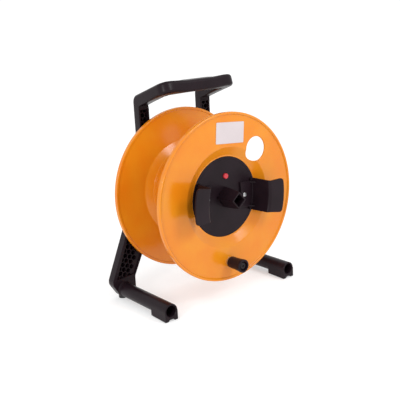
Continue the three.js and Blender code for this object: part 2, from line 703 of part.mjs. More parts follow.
function tieBolt(name, [x, z]) {
  const seat = SEAT_FACE + GAP;
  const tip = -DISC_BACK + FLANGE_WALL;
  const body = rod(TIE_BOLT_R, tip, seat + OVERLAP, x, z)
    .add(rod(TIE_HEAD_R, seat, seat + TIE_HEAD_HEIGHT, x, z))
    .subtract(rod(TIE_BOLT_R, seat + TIE_HEAD_HEIGHT / 2, seat + TIE_HEAD_HEIGHT + OVERLAP, x, z, HEXAGON));
  return piece(name, body, STEEL);
}

function hubDisc() {
  const back = -DISC_BACK;
  const bossRear = back + DISC_BOSS_LENGTH;
  const tieRear = back + TIE_BOSS_LENGTH;
  const hookRear = back + HOOK_SCREW_LENGTH;
  let body = rod(DISC_R, -DISC_FACE, back, 0, 0, ROUND).add(rod(DISC_BOSS_R, back - OVERLAP, bossRear));
  for (const [x, z] of tieSpots()) {
    body = body.add(rod(TIE_BOSS_R, back - OVERLAP, tieRear, x, z));
    body = body.subtract(rod(TIE_BOLT_R + GAP, back + FLANGE_WALL - GAP, tieRear + OVERLAP, x, z));
  }
  for (const side of [-1, 1]) {
    const x = side * HOOK_SCREW_AT;
    body = body.add(rod(HOOK_BOSS_R, back - OVERLAP, hookRear, x));
    body = body.subtract(rod(HOOK_SCREW_R + GAP, -DISC_FACE - OVERLAP, hookRear + OVERLAP, x));
  }
  for (const angle of spread(SOCKET_PEGS, UP)) {
    const [x, z] = spot(SOCKET_PEG_AT, angle);
    body = body.subtract(rod(SOCKET_PEG_R + GAP, -DISC_FACE - OVERLAP, bossRear + OVERLAP, x, z, SMALL));
  }
  const [lockX, lockZ] = spot(LOCK_AT, UP);
  return piece(
    "hub_disc",
    body
      .subtract(rod(BUTTON_R + RUN, -DISC_FACE - OVERLAP, back + OVERLAP, lockX, lockZ))
      .subtract(rod(BUSH_R + GAP, -DISC_FACE - OVERLAP, bossRear + OVERLAP)),
    BLACK,
  );
}

function frontBush() {
  return piece("front_bush", tube(BUSH_R, AXLE_R + RUN, -DISC_FACE, -DISC_BACK + DISC_BOSS_LENGTH), NYLON);
}

function rearBush() {
  const sleeve = tube(BUSH_R, AXLE_R + RUN, SEAT_BACK, REAR_BUSH_REAR);
  const collar = tube(THRUST_WASHER_R, AXLE_R + RUN, HUB_REAR + GAP, REAR_BUSH_REAR);
  return piece("rear_bush", sleeve.add(collar), NYLON);
}

// Square tube on its corner, wider at the disc, with a round hollow over the axle's end.
function centreSocket() {
  const seat = -DISC_FACE - GAP;
  const tip = -DISC_FACE - SOCKET_LENGTH;
  const floorFront = AXLE_FRONT - SOCKET_AXLE_GAP - SOCKET_FLOOR;
  const sideAt = (y) => THREE.MathUtils.mapLinear(y, tip, seat, SOCKET_TIP_SIDE, SOCKET_BASE_SIDE);
  const tapered = (wall, y0, y1) => {
    const [r0, r1] = [y0, y1].map((y) => (sideAt(y) - 2 * wall) * Math.SQRT1_2);
    const geometry = new THREE.CylinderGeometry(r1, r0, y1 - y0, SQUARE);
    return solid(geometry.translate(0, (y0 + y1) / 2, 0));
  };
  let body = tapered(0, tip, seat)
    .subtract(tapered(SOCKET_WALL, tip - OVERLAP, floorFront))
    .subtract(rod(KEEPER_R + GAP, floorFront + SOCKET_FLOOR, seat + OVERLAP));
  for (const angle of spread(SOCKET_PEGS, UP)) {
    const [x, z] = spot(SOCKET_PEG_AT, angle);
    body = body.add(rod(SOCKET_PEG_R, seat - OVERLAP, -DISC_BACK, x, z, SMALL));
  }
  return piece("centre_socket", body, BLACK);
}

// Foot on the disc, web forward, lip turned outwards.
function hook(name, side) {
  const seat = -DISC_FACE - GAP - HOOK_WALL / 2;
  const fold = -DISC_FACE - HOOK_REACH + HOOK_WALL / 2;
  const path = [
    [side * HOOK_FOOT_START, seat],
    [side * HOOK_ROOT, seat],
    [side * HOOK_FOLD, fold],
    [side * (HOOK_FOLD + HOOK_LIP), fold - HOOK_LIP_LEAN],
  ];
  const half = HOOK_HEIGHT / 2;
  const end = side * (HOOK_FOLD + HOOK_LIP + HOOK_WALL);
  const reach = -DISC_FACE - HOOK_REACH - HOOK_LIP_LEAN - HOOK_WALL;
  const face = [
    [0, -half],
    [end, -half, HOOK_CORNER_R],
    [end, half, HOOK_CORNER_R],
    [0, half],
  ];
  const ordered = (from, to) => [Math.min(from, to), Math.max(from, to)];
  const across = ordered(side * (HOOK_FOOT_START - OVERLAP), side * (HOOK_ROOT - HOOK_WALL));
  let body = prismZ(ribbon(path, HOOK_WALL), -half, half).intersect(prismY(face, reach, -DISC_FACE));
  for (const way of [-1, 1]) {
    const upward = ordered((way * HOOK_FOOT_HEIGHT) / 2, way * (half + OVERLAP));
    body = body.subtract(block(...across, seat - HOOK_WALL, -DISC_FACE, ...upward));
  }
  const bore = rod(HOOK_SCREW_R + GAP, seat - HOOK_WALL, -DISC_FACE, side * HOOK_SCREW_AT);
  return piece(name, body.subtract(bore), BLACK);
}

function hookScrew(name, side) {
  const head = -DISC_FACE - GAP - HOOK_WALL - GAP;
  const face = head - HOOK_HEAD_HEIGHT;
  const x = side * HOOK_SCREW_AT;
  const body = rod(HOOK_SCREW_R, head - OVERLAP, head + HOOK_SCREW_LENGTH, x, 0)
    .add(rod(HOOK_HEAD_R, face, head, x))
    .subtract(rod(HOOK_SCREW_R, face - OVERLAP, (face + head) / 2, x, 0, HEXAGON));
  return piece(name, body, STEEL);
}

// ---- Drum lock ----------------------------------------------------------------------------

const COLLAR_FRONT = -DISC_BACK + GAP;
const COLLAR_REAR = COLLAR_FRONT + BUTTON_COLLAR_THICK;
const CUP_REAR = -DISC_BACK + GAP + CUP_LENGTH;
const CUP_BORE_R = BUTTON_R + BUTTON_COLLAR + RUN;
const [LOCK_X, LOCK_Z] = spot(LOCK_AT, UP);

function lockButton() {
  const front = -DISC_FACE - BUTTON_PROUD;
  const body = rod(BUTTON_R, front, COLLAR_REAR, LOCK_X, LOCK_Z)
    .add(rod(BUTTON_R + BUTTON_COLLAR, COLLAR_FRONT, COLLAR_REAR, LOCK_X, LOCK_Z))
    .subtract(rod(ROD_R + GAP, -DISC_FACE, COLLAR_REAR + OVERLAP, LOCK_X, LOCK_Z));
  return piece("lock_button", body, RED);
}

function lockRod() {
  const rear = LOCK_RING_FRONT - RUN;
  return piece("lock_rod", rod(ROD_R, -DISC_FACE + GAP, rear, LOCK_X, LOCK_Z), STEEL);
}

function lockCup() {
  const body = rod(CUP_BORE_R + CUP_WALL, COLLAR_FRONT, CUP_REAR, LOCK_X, LOCK_Z)
    .subtract(rod(CUP_BORE_R, COLLAR_FRONT - OVERLAP, CUP_REAR - CUP_WALL, LOCK_X, LOCK_Z))
    .subtract(rod(ROD_R + RUN, COLLAR_FRONT, CUP_REAR + OVERLAP, LOCK_X, LOCK_Z));
  return piece("lock_cup", body, BLACK);
}

class Helix extends THREE.Curve {
  constructor(radius, start, end, turns) {
    super();
    Object.assign(this, { radius, start, end, turns });
  }

  getPoint(t, target = new THREE.Vector3()) {
    const angle = t * this.turns * 2 * Math.PI;
    const y = THREE.MathUtils.lerp(this.start, this.end, t);
    return target.set(this.radius * Math.cos(angle), y, this.radius * Math.sin(angle));
  }
}

function lockSpring() {
  const radius = CUP_BORE_R - SPRING_WIRE_R - RUN;
  const start = COLLAR_REAR + GAP + SPRING_WIRE_R;
  const end = CUP_REAR - CUP_WALL - GAP - SPRING_WIRE_R;
  const wire = new THREE.Shape();
  for (const [i, angle] of spread(WIRE_SIDES).entries()) {
    const [u, v] = spot(SPRING_WIRE_R, angle);
    if (i === 0) wire.moveTo(u, v);
    else wire.lineTo(u, v);
  }
  wire.closePath();
  const extrudePath = new Helix(radius, start, end, SPRING_TURNS);
  const geometry = new THREE.ExtrudeGeometry(wire, { steps: SPRING_TURNS * WIRE_STEPS, extrudePath });
  return piece("lock_spring", solid(geometry.translate(LOCK_X, 0, LOCK_Z)), STEEL);
}

// ---- Crank --------------------------------------------------------------------------------

const [CRANK_X, CRANK_Z] = spot(CRANK_AT, CRANK_ANGLE);
const SPINDLE_SEAT = -PLATE_FACE - GAP;
const KNOB_REAR = SPINDLE_SEAT - SPINDLE_COLLAR - RUN;
const KNOB_FRONT = KNOB_REAR - KNOB_LENGTH;
const RECESS_FLOOR = KNOB_FRONT + KNOB_RECESS;
const SPINDLE_FRONT = RECESS_FLOOR - RUN;

function crankSpindle() {
  const back = -PLATE_BACK + GAP + CRANK_WASHER + GAP + CRANK_NUT_HEIGHT;
  const screwEnd = SPINDLE_FRONT + KNOB_SCREW_LENGTH;
  const body = rod(SPINDLE_R, SPINDLE_FRONT, SPINDLE_SEAT, CRANK_X, CRANK_Z)
    .add(rod(SPINDLE_COLLAR_R, SPINDLE_SEAT - SPINDLE_COLLAR, SPINDLE_SEAT, CRANK_X, CRANK_Z))
    .add(rod(SPINDLE_STUD_R, SPINDLE_SEAT - OVERLAP, back, CRANK_X, CRANK_Z))
    .subtract(rod(KNOB_SCREW_R + GAP, SPINDLE_FRONT - OVERLAP, screwEnd + OVERLAP, CRANK_X, CRANK_Z, SMALL));
  return piece("crank_spindle", body, STEEL);
}

function crankWasher() {
  const front = -PLATE_BACK + GAP;
  const ring = tube(CRANK_WASHER_R, SPINDLE_STUD_R + GAP, front, front + CRANK_WASHER, CRANK_X, CRANK_Z);
  return piece("crank_washer", ring, STEEL);
}

function crankNut() {
  const front = -PLATE_BACK + GAP + CRANK_WASHER + GAP;
  const back = front + CRANK_NUT_HEIGHT;
  const body = rod(CRANK_NUT_R, front, back, CRANK_X, CRANK_Z, HEXAGON)
    .subtract(rod(SPINDLE_STUD_R + GAP, front - OVERLAP, back + OVERLAP, CRANK_X, CRANK_Z));
  return piece("crank_nut", body, STEEL);
}

function crankKnob() {
  const geometry = new THREE.CylinderGeometry(KNOB_BASE_R, KNOB_TIP_R, KNOB_LENGTH, ROUND);
  const body = solid(geometry.translate(CRANK_X, (KNOB_REAR + KNOB_FRONT) / 2, CRANK_Z))
    .subtract(rod(KNOB_RECESS_R, KNOB_FRONT - OVERLAP, RECESS_FLOOR, CRANK_X, CRANK_Z))
    .subtract(rod(SPINDLE_R + RUN, KNOB_FRONT, KNOB_REAR + OVERLAP, CRANK_X, CRANK_Z));
  return piece("crank_knob", body, BLACK);
}

function knobScrew() {
  const seat = SPINDLE_FRONT - GAP;
  const face = seat - KNOB_SCREW_HEAD;
  const body = rod(KNOB_SCREW_R, seat - OVERLAP, seat + KNOB_SCREW_LENGTH, CRANK_X, CRANK_Z, SMALL)
    .add(rod(KNOB_SCREW_HEAD_R, face, seat, CRANK_X, CRANK_Z))
    .subtract(rod(KNOB_SCREW_R, face - OVERLAP, (face + seat) / 2, CRANK_X, CRANK_Z, HEXAGON));
  return piece("knob_screw", body, STEEL);
}

// ---- Assembly -----------------------------------------------------------------------------

const stand = new THREE.Group();
stand.add(frame(), heelPad("heel_pad_left", -1), heelPad("heel_pad_right", 1));
stand.add(axle(), axleWasher(), axleNut(), thrustWasher(), keeperWasher(), circlip(), lockRing());
lockScrewSpots().forEach((place, i) => stand.add(lockScrew(`lock_ring_screw_${i + 1}`, place)));

const drum = new THREE.Group();
drum.add(frontFlange(), rearFlange(), barrel(), label(), hubDisc(), frontBush(), rearBush());
drum.add(centreSocket(), hook("hook_left", -1), hook("hook_right", 1));
drum.add(hookScrew("hook_screw_left", -1), hookScrew("hook_screw_right", 1));
tieSpots().forEach((place, i) => drum.add(tieBolt(`tie_bolt_${i + 1}`, place)));
drum.add(lockButton(), lockRod(), lockCup(), lockSpring());
drum.add(crankSpindle(), crankWasher(), crankNut(), crankKnob(), knobScrew());
drum.rotation.y = THREE.MathUtils.degToRad(DRUM_TURN);

const reel = new THREE.Group();
reel.add(stand, drum);
const frontMost = Math.min(KNOB_FRONT, -DISC_FACE - HOOK_REACH - HOOK_LIP_LEAN);
reel.position.set(0, -(frontMost + FRAME_REAR) / 2, AXLE_HEIGHT);

export default reel;
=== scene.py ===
import math

import bmesh
import bpy
from mathutils import Matrix, Vector


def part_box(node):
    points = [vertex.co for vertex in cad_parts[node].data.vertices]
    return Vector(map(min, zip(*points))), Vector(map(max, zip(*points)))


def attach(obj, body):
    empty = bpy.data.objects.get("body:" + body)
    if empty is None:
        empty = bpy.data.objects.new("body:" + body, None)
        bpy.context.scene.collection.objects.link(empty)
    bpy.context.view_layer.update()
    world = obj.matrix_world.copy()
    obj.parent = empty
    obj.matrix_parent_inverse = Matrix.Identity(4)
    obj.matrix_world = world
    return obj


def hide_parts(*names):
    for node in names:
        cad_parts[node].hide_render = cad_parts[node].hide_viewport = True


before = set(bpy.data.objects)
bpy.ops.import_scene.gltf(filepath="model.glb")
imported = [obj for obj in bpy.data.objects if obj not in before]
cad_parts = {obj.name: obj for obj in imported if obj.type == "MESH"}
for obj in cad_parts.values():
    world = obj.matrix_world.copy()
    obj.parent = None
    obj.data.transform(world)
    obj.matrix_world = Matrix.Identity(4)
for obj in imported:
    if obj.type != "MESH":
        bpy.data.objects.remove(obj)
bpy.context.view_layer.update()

# ---- Carrying frame --------------------------------------------------------------------------
# One black moulding that stands behind the drum: two uprights that splay into legs, a cross-member
# with the axle's boss, tubular feet that reach forward, and a handle that sweeps over the drum.
# Its mould opens along Y, so uprights and legs are open at the front over a honeycomb of ribs.

FRAME_LOW, FRAME_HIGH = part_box("frame")
AXLE_LOW, AXLE_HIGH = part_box("axle")
AXLE_X = (AXLE_LOW.x + AXLE_HIGH.x) / 2
AXLE_Z = (AXLE_LOW.z + AXLE_HIGH.z) / 2
FRAME_DEPTH = 0.019
FRAME_REAR = FRAME_HIGH.y
FRAME_FRONT = FRAME_REAR - FRAME_DEPTH
UPRIGHT_OUT = 0.0777
UPRIGHT_IN = 0.0565
STRIP_TOP = AXLE_Z + 0.1482
BEND_OUT_Z = AXLE_Z + 0.040
BEND_IN_Z = AXLE_Z - 0.035
HEEL_OUT = FRAME_HIGH.x
HEEL_WIDTH = 0.0461
HEEL_IN = HEEL_OUT - HEEL_WIDTH
HEEL_TOP = 0.036
HEEL_LOW = 0.0045

ALONG = {"X": Vector((1, 0, 0)), "Y": Vector((0, 1, 0)), "Z": Vector((0, 0, 1))}
FLAT = {
    "X": lambda u, v, w: Vector((w, u, v)),
    "Y": lambda u, v, w: Vector((u, w, v)),
    "Z": lambda u, v, w: Vector((u, v, w)),
}
NEAR = 1e-5


def alone(piece):
    """Only this piece is selected, and it is the active one."""
    bpy.ops.object.select_all(action="DESELECT")
    piece.select_set(True)
    bpy.context.view_layer.objects.active = piece


def opened(name):
    """The primitive just added gets its name and its place in its mesh, and is opened for modelling."""
    piece = bpy.context.active_object
    alone(piece)
    bpy.ops.object.transform_apply(location=True, rotation=True, scale=True)
    piece.name = name
    piece.data.name = name
    bpy.ops.object.mode_set(mode="EDIT")
    bpy.ops.mesh.select_mode(type="VERT")
    return piece


def closed(piece):
    """All faces of the open piece are turned outwards, and it is closed again."""
    bpy.ops.mesh.select_all(action="SELECT")
    bpy.ops.mesh.remove_doubles(threshold=NEAR / 10)
    bpy.ops.mesh.normals_make_consistent(inside=False)
    bpy.ops.mesh.select_all(action="DESELECT")
    bpy.ops.object.mode_set(mode="OBJECT")
    return piece


def pick(piece, kind, wanted, fold=None):
    """In the open piece, selects the points, edges or faces whose corners are all wanted. Edges may
    also have to be folded by more than an angle."""
    bpy.ops.mesh.select_mode(type=kind)
    bpy.ops.mesh.select_all(action="DESELECT")
    mesh = bmesh.from_edit_mesh(piece.data)
    items = {"VERT": mesh.verts, "EDGE": mesh.edges, "FACE": mesh.faces}[kind]
    for item in items:
        corners = [item] if kind == "VERT" else item.verts
        sharp = fold is None or (item.is_manifold and item.calc_face_angle() > fold)
        item.select_set(sharp and all(wanted(corner.co) for corner in corners))
    bmesh.update_edit_mesh(piece.data)


def soften(piece, wanted, width, steps=3, fold=None):
    """Rounds the edges of the open piece whose two ends are wanted."""
    pick(piece, "EDGE", wanted, fold)
    bpy.ops.mesh.bevel(offset=width, segments=steps, profile=0.5, affect="EDGES")


def corner_reach(outline, index, radius):
    """How far a fillet of a radius reaches along the two sides of an outline's corner."""
    corner = Vector(outline[index][:2])
    before = Vector(outline[index - 1][:2]) - corner
    after = Vector(outline[(index + 1) % len(outline)][:2]) - corner
    return radius / math.tan(before.angle(after) / 2)


def plate(name, outline, start, end, axis="Y", steps=5, wall=0.0):
    """A blank is pulled out to an outline of (u, v) or (u, v, fillet) corners, drawn in by a wall if one is
    given, then thickened along an axis."""
    corners = [FLAT[axis](u, v, start) for u, v, *_ in outline]
    middle = sum(corners, Vector()) / len(corners)
    size = max((corner - middle).length for corner in corners)
    bpy.ops.mesh.primitive_circle_add(
        vertices=len(outline), radius=size, fill_type="NGON", location=middle
    )
    piece = opened(name)
    for index, corner in enumerate(corners):
        bpy.ops.mesh.select_mode(type="VERT")
        bpy.ops.mesh.select_all(action="DESELECT")
        mesh = bmesh.from_edit_mesh(piece.data)
        mesh.verts.ensure_lookup_table()
        mesh.verts[index].select_set(True)
        bpy.ops.transform.translate(value=corner - mesh.verts[index].co)
    bpy.ops.mesh.select_all(action="SELECT")
    if wall:
        bpy.ops.mesh.select_mode(type="FACE")
        bpy.ops.mesh.inset(thickness=wall)
        bpy.ops.mesh.select_all(action="INVERT")
        bpy.ops.mesh.delete(type="FACE")
        bpy.ops.mesh.select_all(action="SELECT")
    bpy.ops.mesh.extrude_region_move(
        TRANSFORM_OT_translate={"value": ALONG[axis] * (end - start)}
    )
    for index, (u, v, *fillet) in enumerate(outline):
        if fillet:
            foot = FLAT[axis](u, v, 0)
            soften(
                piece,
                lambda point: (point - foot - ALONG[axis] * point.dot(ALONG[axis])).length < NEAR,
                corner_reach(outline, index, fillet[0]),
                steps,
            )
    bpy.ops.mesh.select_all(action="SELECT")
    bpy.ops.mesh.normals_make_consistent(inside=False)
    return piece


def turned(name, profile, x=0.0, z=0.0, sides=96, ring=False):
    """A circle about a line along Y is drawn out and resized through (radius, y) or (radius, y, rounding)
    points. A ring is bridged shut; anything else is capped at both ends."""
    first, *others = profile
    bpy.ops.mesh.primitive_circle_add(
        vertices=sides,
        radius=first[0],
        location=(x, first[1], z),
        rotation=(math.pi / 2, 0, 0),
    )
    piece = opened(name)
    bpy.ops.mesh.select_all(action="SELECT")
    radius, y = first[:2]
    for next_radius, next_y, *_ in others:
        bpy.ops.mesh.extrude_region_move(
            TRANSFORM_OT_translate={"value": (0, next_y - y, 0)}
        )
        factor = next_radius / radius
        bpy.ops.transform.resize(value=(factor, 1, factor), center_override=(x, next_y, z))
        radius, y = next_radius, next_y
    bpy.ops.mesh.select_all(action="DESELECT")
    bpy.ops.mesh.select_mode(type="EDGE")
    bpy.ops.mesh.select_non_manifold()
    if ring:
        bpy.ops.mesh.bridge_edge_loops()
    else:
        bpy.ops.mesh.fill_holes(sides=0)
    bpy.ops.mesh.select_all(action="SELECT")
    bpy.ops.mesh.normals_make_consistent(inside=False)
    for place_radius, place_y, *rounding in profile:
        if rounding:
            soften(
                piece,
                lambda point: abs(point.y - place_y) < NEAR
                and abs(math.hypot(point.x - x, point.z - z) - place_radius) < NEAR,
                rounding[0],
            )
    return piece


def finished(piece, modifier, **settings):
    """A modifier is added to the piece, set and applied."""
    alone(piece)
    bpy.ops.object.modifier_add(type=modifier)
    made = piece.modifiers[-1]
    for name, value in settings.items():
        setattr(made, name, value)
    bpy.ops.object.modifier_apply(modifier=made.name)
    return piece


def welded(piece, *others, operation="UNION"):
    """Other pieces are joined to this one, or cut out of it, and cleared away."""
    for other in others:
        finished(piece, "BOOLEAN", operation=operation, object=other, solver="EXACT")
        bpy.data.objects.remove(other)
    return piece


def shaded(piece, degrees=32):
    """Smooth shading over gentle turns, flat faces kept flat, crisp lines at sharp ones."""
    alone(piece)
    bpy.ops.object.shade_smooth_by_angle(angle=math.radians(degrees))
    finished(piece, "WEIGHTED_NORMAL", keep_sharp=True)
    return piece


side_outline = [
    (UPRIGHT_OUT, STRIP_TOP),
    (UPRIGHT_OUT, BEND_OUT_Z, 0.020),
    (HEEL_OUT, HEEL_TOP, 0.010),
    (HEEL_OUT, HEEL_LOW + 0.024, 0.010),
    (HEEL_OUT - 0.015, HEEL_LOW, 0.012),
    (HEEL_IN, HEEL_LOW, 0.009),
    (HEEL_IN, HEEL_TOP, 0.010),
    (UPRIGHT_IN, BEND_IN_Z, 0.020),
    (UPRIGHT_IN, STRIP_TOP),
]
frame_body = plate("carrying_frame", side_outline, FRAME_REAR, FRAME_FRONT)
LONG_EDGE_R = 0.0052
FRONT_EDGE_R = 0.0009
soften(
    frame_body,
    lambda point: abs(point.y - FRAME_REAR) < NEAR and point.z < STRIP_TOP + NEAR,
    LONG_EDGE_R,
    4,
    math.radians(60),
)
soften(frame_body, lambda point: abs(point.y - FRAME_FRONT) < NEAR, FRONT_EDGE_R, 2)
closed(frame_body)

# The handle's right half: upright, arm, elbow and grip as one bar, its long edges rounded at the end.
HANDLE_TOP = AXLE_Z + 0.1682
ARM_SLOPE = math.radians(18)
ARM_HEIGHT = 0.0204
ARM_FORWARD = Vector((0, -math.cos(ARM_SLOPE), math.sin(ARM_SLOPE)))
ARM_UP = Vector((0, math.sin(ARM_SLOPE), math.cos(ARM_SLOPE)))
HANDLE_REACH = 0.075
GRIP_HALF = 0.0105
GRIP_MIDDLE_Y = FRAME_FRONT - HANDLE_REACH + GRIP_HALF
BAR_HALF = (UPRIGHT_OUT - UPRIGHT_IN) / 2
ELBOW_R = 0.017
ELBOW_INNER_R = 0.003
ELBOW_STEPS = 9
ARM_DROP = ARM_HEIGHT / math.cos(ARM_SLOPE)
SKIN = 0.00003


def arm_top(y):
    return HANDLE_TOP + (FRAME_REAR - y) * math.tan(ARM_SLOPE)


grip_middle = Vector((0, GRIP_MIDDLE_Y, arm_top(GRIP_MIDDLE_Y) - ARM_DROP / 2))
arm_end = grip_middle - ARM_FORWARD * BAR_HALF
arm_end_top = arm_end + ARM_UP * ARM_HEIGHT / 2
arm_end_low = arm_end - ARM_UP * ARM_HEIGHT / 2
arm_root = STRIP_TOP - 0.005
arm_outline = [
    (FRAME_REAR - SKIN, arm_root),
    (FRAME_REAR - SKIN, HANDLE_TOP, 0.013),
    (arm_end_top.y, arm_end_top.z),
    (arm_end_low.y, arm_end_low.z),
    (FRAME_FRONT + SKIN, arm_top(FRAME_FRONT) - ARM_DROP),
    (FRAME_FRONT + SKIN, arm_root),
]
handle = plate("handle_half", arm_outline, UPRIGHT_IN + SKIN, UPRIGHT_OUT - SKIN, "X")
pick(handle, "FACE", lambda point: abs((point - arm_end).dot(ARM_FORWARD)) < NEAR)
bpy.ops.mesh.extrude_region_move(TRANSFORM_OT_translate={"value": ARM_FORWARD * BAR_HALF * 2})
pick(
    handle,
    "FACE",
    lambda point: point.x < UPRIGHT_IN + 2 * SKIN and (point - arm_end).dot(ARM_FORWARD) > -NEAR,
)
GRIP_EASE = 0.030
bpy.ops.mesh.extrude_region_move(TRANSFORM_OT_translate={"value": (-GRIP_EASE, 0, 0)})
bpy.ops.transform.rotate(
    value=-ARM_SLOPE,
    orient_axis="X",
    center_override=(UPRIGHT_IN - GRIP_EASE, grip_middle.y, grip_middle.z),
)
bpy.ops.mesh.extrude_region_move(
    TRANSFORM_OT_translate={"value": (GRIP_EASE - UPRIGHT_IN - 0.01, 0, 0)}
)
soften(
    handle,
    lambda point: point.x > UPRIGHT_OUT - 2 * SKIN
    and (point - arm_end).dot(ARM_FORWARD) > BAR_HALF * 2 - NEAR,
    ELBOW_R,
    ELBOW_STEPS,
)
soften(
    handle,
    lambda point: abs(point.x - UPRIGHT_IN - SKIN) < NEAR and abs((point - arm_end).dot(ARM_FORWARD)) < NEAR,
    ELBOW_INNER_R,
    4,
)
bpy.ops.mesh.select_all(action="SELECT")
bpy.ops.mesh.normals_make_consistent(inside=False)
GRIP_CUT = -0.01
pick(handle, "FACE", lambda point: point.x < GRIP_CUT + NEAR)
bpy.ops.mesh.delete(type="FACE")
soften(
    handle,
    lambda point: abs(point.y - FRAME_FRONT) > 2 * SKIN or point.z > arm_root + 0.005,
    LONG_EDGE_R,
    4,
    math.radians(60),
)
pick(handle, "EDGE", lambda point: point.x < GRIP_CUT + NEAR)
bpy.ops.mesh.fill_holes(sides=0)
closed(handle)

# Cross-member and axle boss. The boss is cored out at the rear between ribs, and holds the axle's nut.
CROSS_DEPTH = 0.015
CROSS_HALF = 0.032
BOSS_R = 0.045
cross_outline = [
    (GRIP_CUT, AXLE_Z + CROSS_HALF),
    (UPRIGHT_IN - 0.006, AXLE_Z + CROSS_HALF, 0.006),
    (UPRIGHT_IN + 0.004, AXLE_Z + CROSS_HALF + 0.012),
    (UPRIGHT_IN + 0.004, AXLE_Z - CROSS_HALF - 0.012),
    (UPRIGHT_IN - 0.006, AXLE_Z - CROSS_HALF, 0.006),
    (GRIP_CUT, AXLE_Z - CROSS_HALF),
]
cross = closed(plate("cross_member", cross_outline, FRAME_REAR - CROSS_DEPTH, FRAME_REAR - SKIN))
NUT_POCKET_R = 0.013
NUT_POCKET = 0.010
STUD_BORE_R = 0.0053
boss_profile = [
    (STUD_BORE_R, FRAME_FRONT),
    (BOSS_R, FRAME_FRONT, 0.0012),
    (BOSS_R, FRAME_REAR, 0.002),
    (0.040, FRAME_REAR, 0.0008),
    (0.0395, FRAME_REAR - 0.004, 0.0008),
    (0.0175, FRAME_REAR - 0.004, 0.0008),
    (0.017, FRAME_REAR, 0.0008),
    (NUT_POCKET_R, FRAME_REAR, 0.0006),
    (NUT_POCKET_R, FRAME_REAR - NUT_POCKET),
    (STUD_BORE_R, FRAME_REAR - NUT_POCKET),
]
bpy.ops.mesh.primitive_cylinder_add(
    vertices=96,
    radius=BOSS_R - 0.002,
    depth=FRAME_DEPTH * 2,
    location=(AXLE_X, FRAME_REAR, AXLE_Z),
    rotation=(math.pi / 2, 0, 0),
)
boss_room = closed(opened("boss_room"))
boss = closed(turned("axle_boss", boss_profile, AXLE_X, AXLE_Z, ring=True))
CORE_RIBS = 8
CORE_RIB = 0.0024
for index in range(CORE_RIBS):
    rib_outline = [
        (0.0165, FRAME_REAR - 0.006),
        (0.0405, FRAME_REAR - 0.006),
        (0.0405, FRAME_REAR - 0.0006),
        (0.0165, FRAME_REAR - 0.0006),
    ]
    rib = plate("core_rib", rib_outline, AXLE_Z - CORE_RIB / 2, AXLE_Z + CORE_RIB / 2, "Z")
    bpy.ops.mesh.select_all(action="SELECT")
    bpy.ops.transform.rotate(
        value=2 * math.pi * (index + 0.5) / CORE_RIBS,
        orient_axis="Y",
        center_override=(AXLE_X, FRAME_REAR, AXLE_Z),
    )
    welded(boss, closed(rib))
welded(cross, boss_room, operation="DIFFERENCE")
welded(cross, boss)

# Right foot: a tube with a toe under its front end, flared into a collar where it leaves the heel.
FOOT_X = HEEL_OUT - HEEL_WIDTH / 2
FOOT_Z = 0.0171
TUBE_R = 0.0125
TOE_FRONT = FRAME_LOW.y
TOE_LENGTH = 0.040
FOOT_BORE_R = 0.0095
FOOT_BORE_DEPTH = 0.126
tube_profile = [
    (TUBE_R + 0.0018, FRAME_FRONT + 0.004),
    (TUBE_R + 0.0018, FRAME_FRONT),
    (TUBE_R + 0.0008, FRAME_FRONT - 0.0014),
    (TUBE_R + 0.0004, FRAME_FRONT - 0.0036),
    (TUBE_R, FRAME_FRONT - 0.0038),
    (TUBE_R, TOE_FRONT + 0.0001, 0.0011),
    (0.009, TOE_FRONT + 0.0001),
    (0.009, TOE_FRONT + 0.002),
]
tube = closed(turned("foot_tube", tube_profile, FOOT_X, FOOT_Z, 64))
toe_outline = [
    (TOE_FRONT, FOOT_Z),
    (TOE_FRONT, 0),
    (TOE_FRONT + TOE_LENGTH, FOOT_Z - TUBE_R - 0.0035),
    (TOE_FRONT + TOE_LENGTH, FOOT_Z),
]
toe = plate("toe", toe_outline, FOOT_X - TUBE_R + SKIN, FOOT_X + TUBE_R - SKIN, "X")
soften(toe, lambda point: point.z < FOOT_Z - NEAR, 0.0014, 3)
closed(toe)
notch_outline = [
    (FOOT_X - 0.0078, -0.001),
    (FOOT_X + 0.0078, -0.001),
    (FOOT_X + 0.0038, 0.0034, 0.001),
    (FOOT_X - 0.0038, 0.0034, 0.001),
]
notch = closed(plate("toe_notch", notch_outline, TOE_FRONT - 0.01, TOE_FRONT + TOE_LENGTH + 0.001))
bore_profile = [
    (0.0104, TOE_FRONT - 0.001),
    (0.0104, TOE_FRONT),
    (FOOT_BORE_R, TOE_FRONT + 0.0012),
    (0.0093, TOE_FRONT + FOOT_BORE_DEPTH),
]
bore = closed(turned("foot_bore", bore_profile, FOOT_X, FOOT_Z, 64))
pad_low, pad_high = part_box("heel_pad_right")
bpy.ops.mesh.primitive_cylinder_add(
    vertices=48,
    radius=(pad_high.x - pad_low.x) / 2 + 0.0003,
    depth=0.02,
    location=((pad_low.x + pad_high.x) / 2, (pad_low.y + pad_high.y) / 2, pad_high.z - 0.0097),
)
pad_socket = closed(opened("pad_socket"))

# Honeycomb: a shallow recess over the whole strip's front, and cells cut deep below it.
CELL_PITCH = 0.0094
CELL_RIB = 0.0011
CELL_DEPTH = 0.015
RECESS = 0.0024
STRIP_WALL = 0.0036
bend_outer = (UPRIGHT_OUT, BEND_OUT_Z)
bend_inner = (UPRIGHT_IN, BEND_IN_Z)
upright_pocket = [
    (UPRIGHT_IN, BEND_IN_Z + 0.004),
    (UPRIGHT_OUT, BEND_OUT_Z + 0.004),
    (UPRIGHT_OUT, STRIP_TOP + 0.001),
    (UPRIGHT_IN, STRIP_TOP + 0.001),
]
leg_pocket = [
    bend_inner,
    (HEEL_IN - 0.001, HEEL_TOP + 0.001),
    (HEEL_OUT - 0.003, HEEL_TOP - 0.002),
    bend_outer,
]


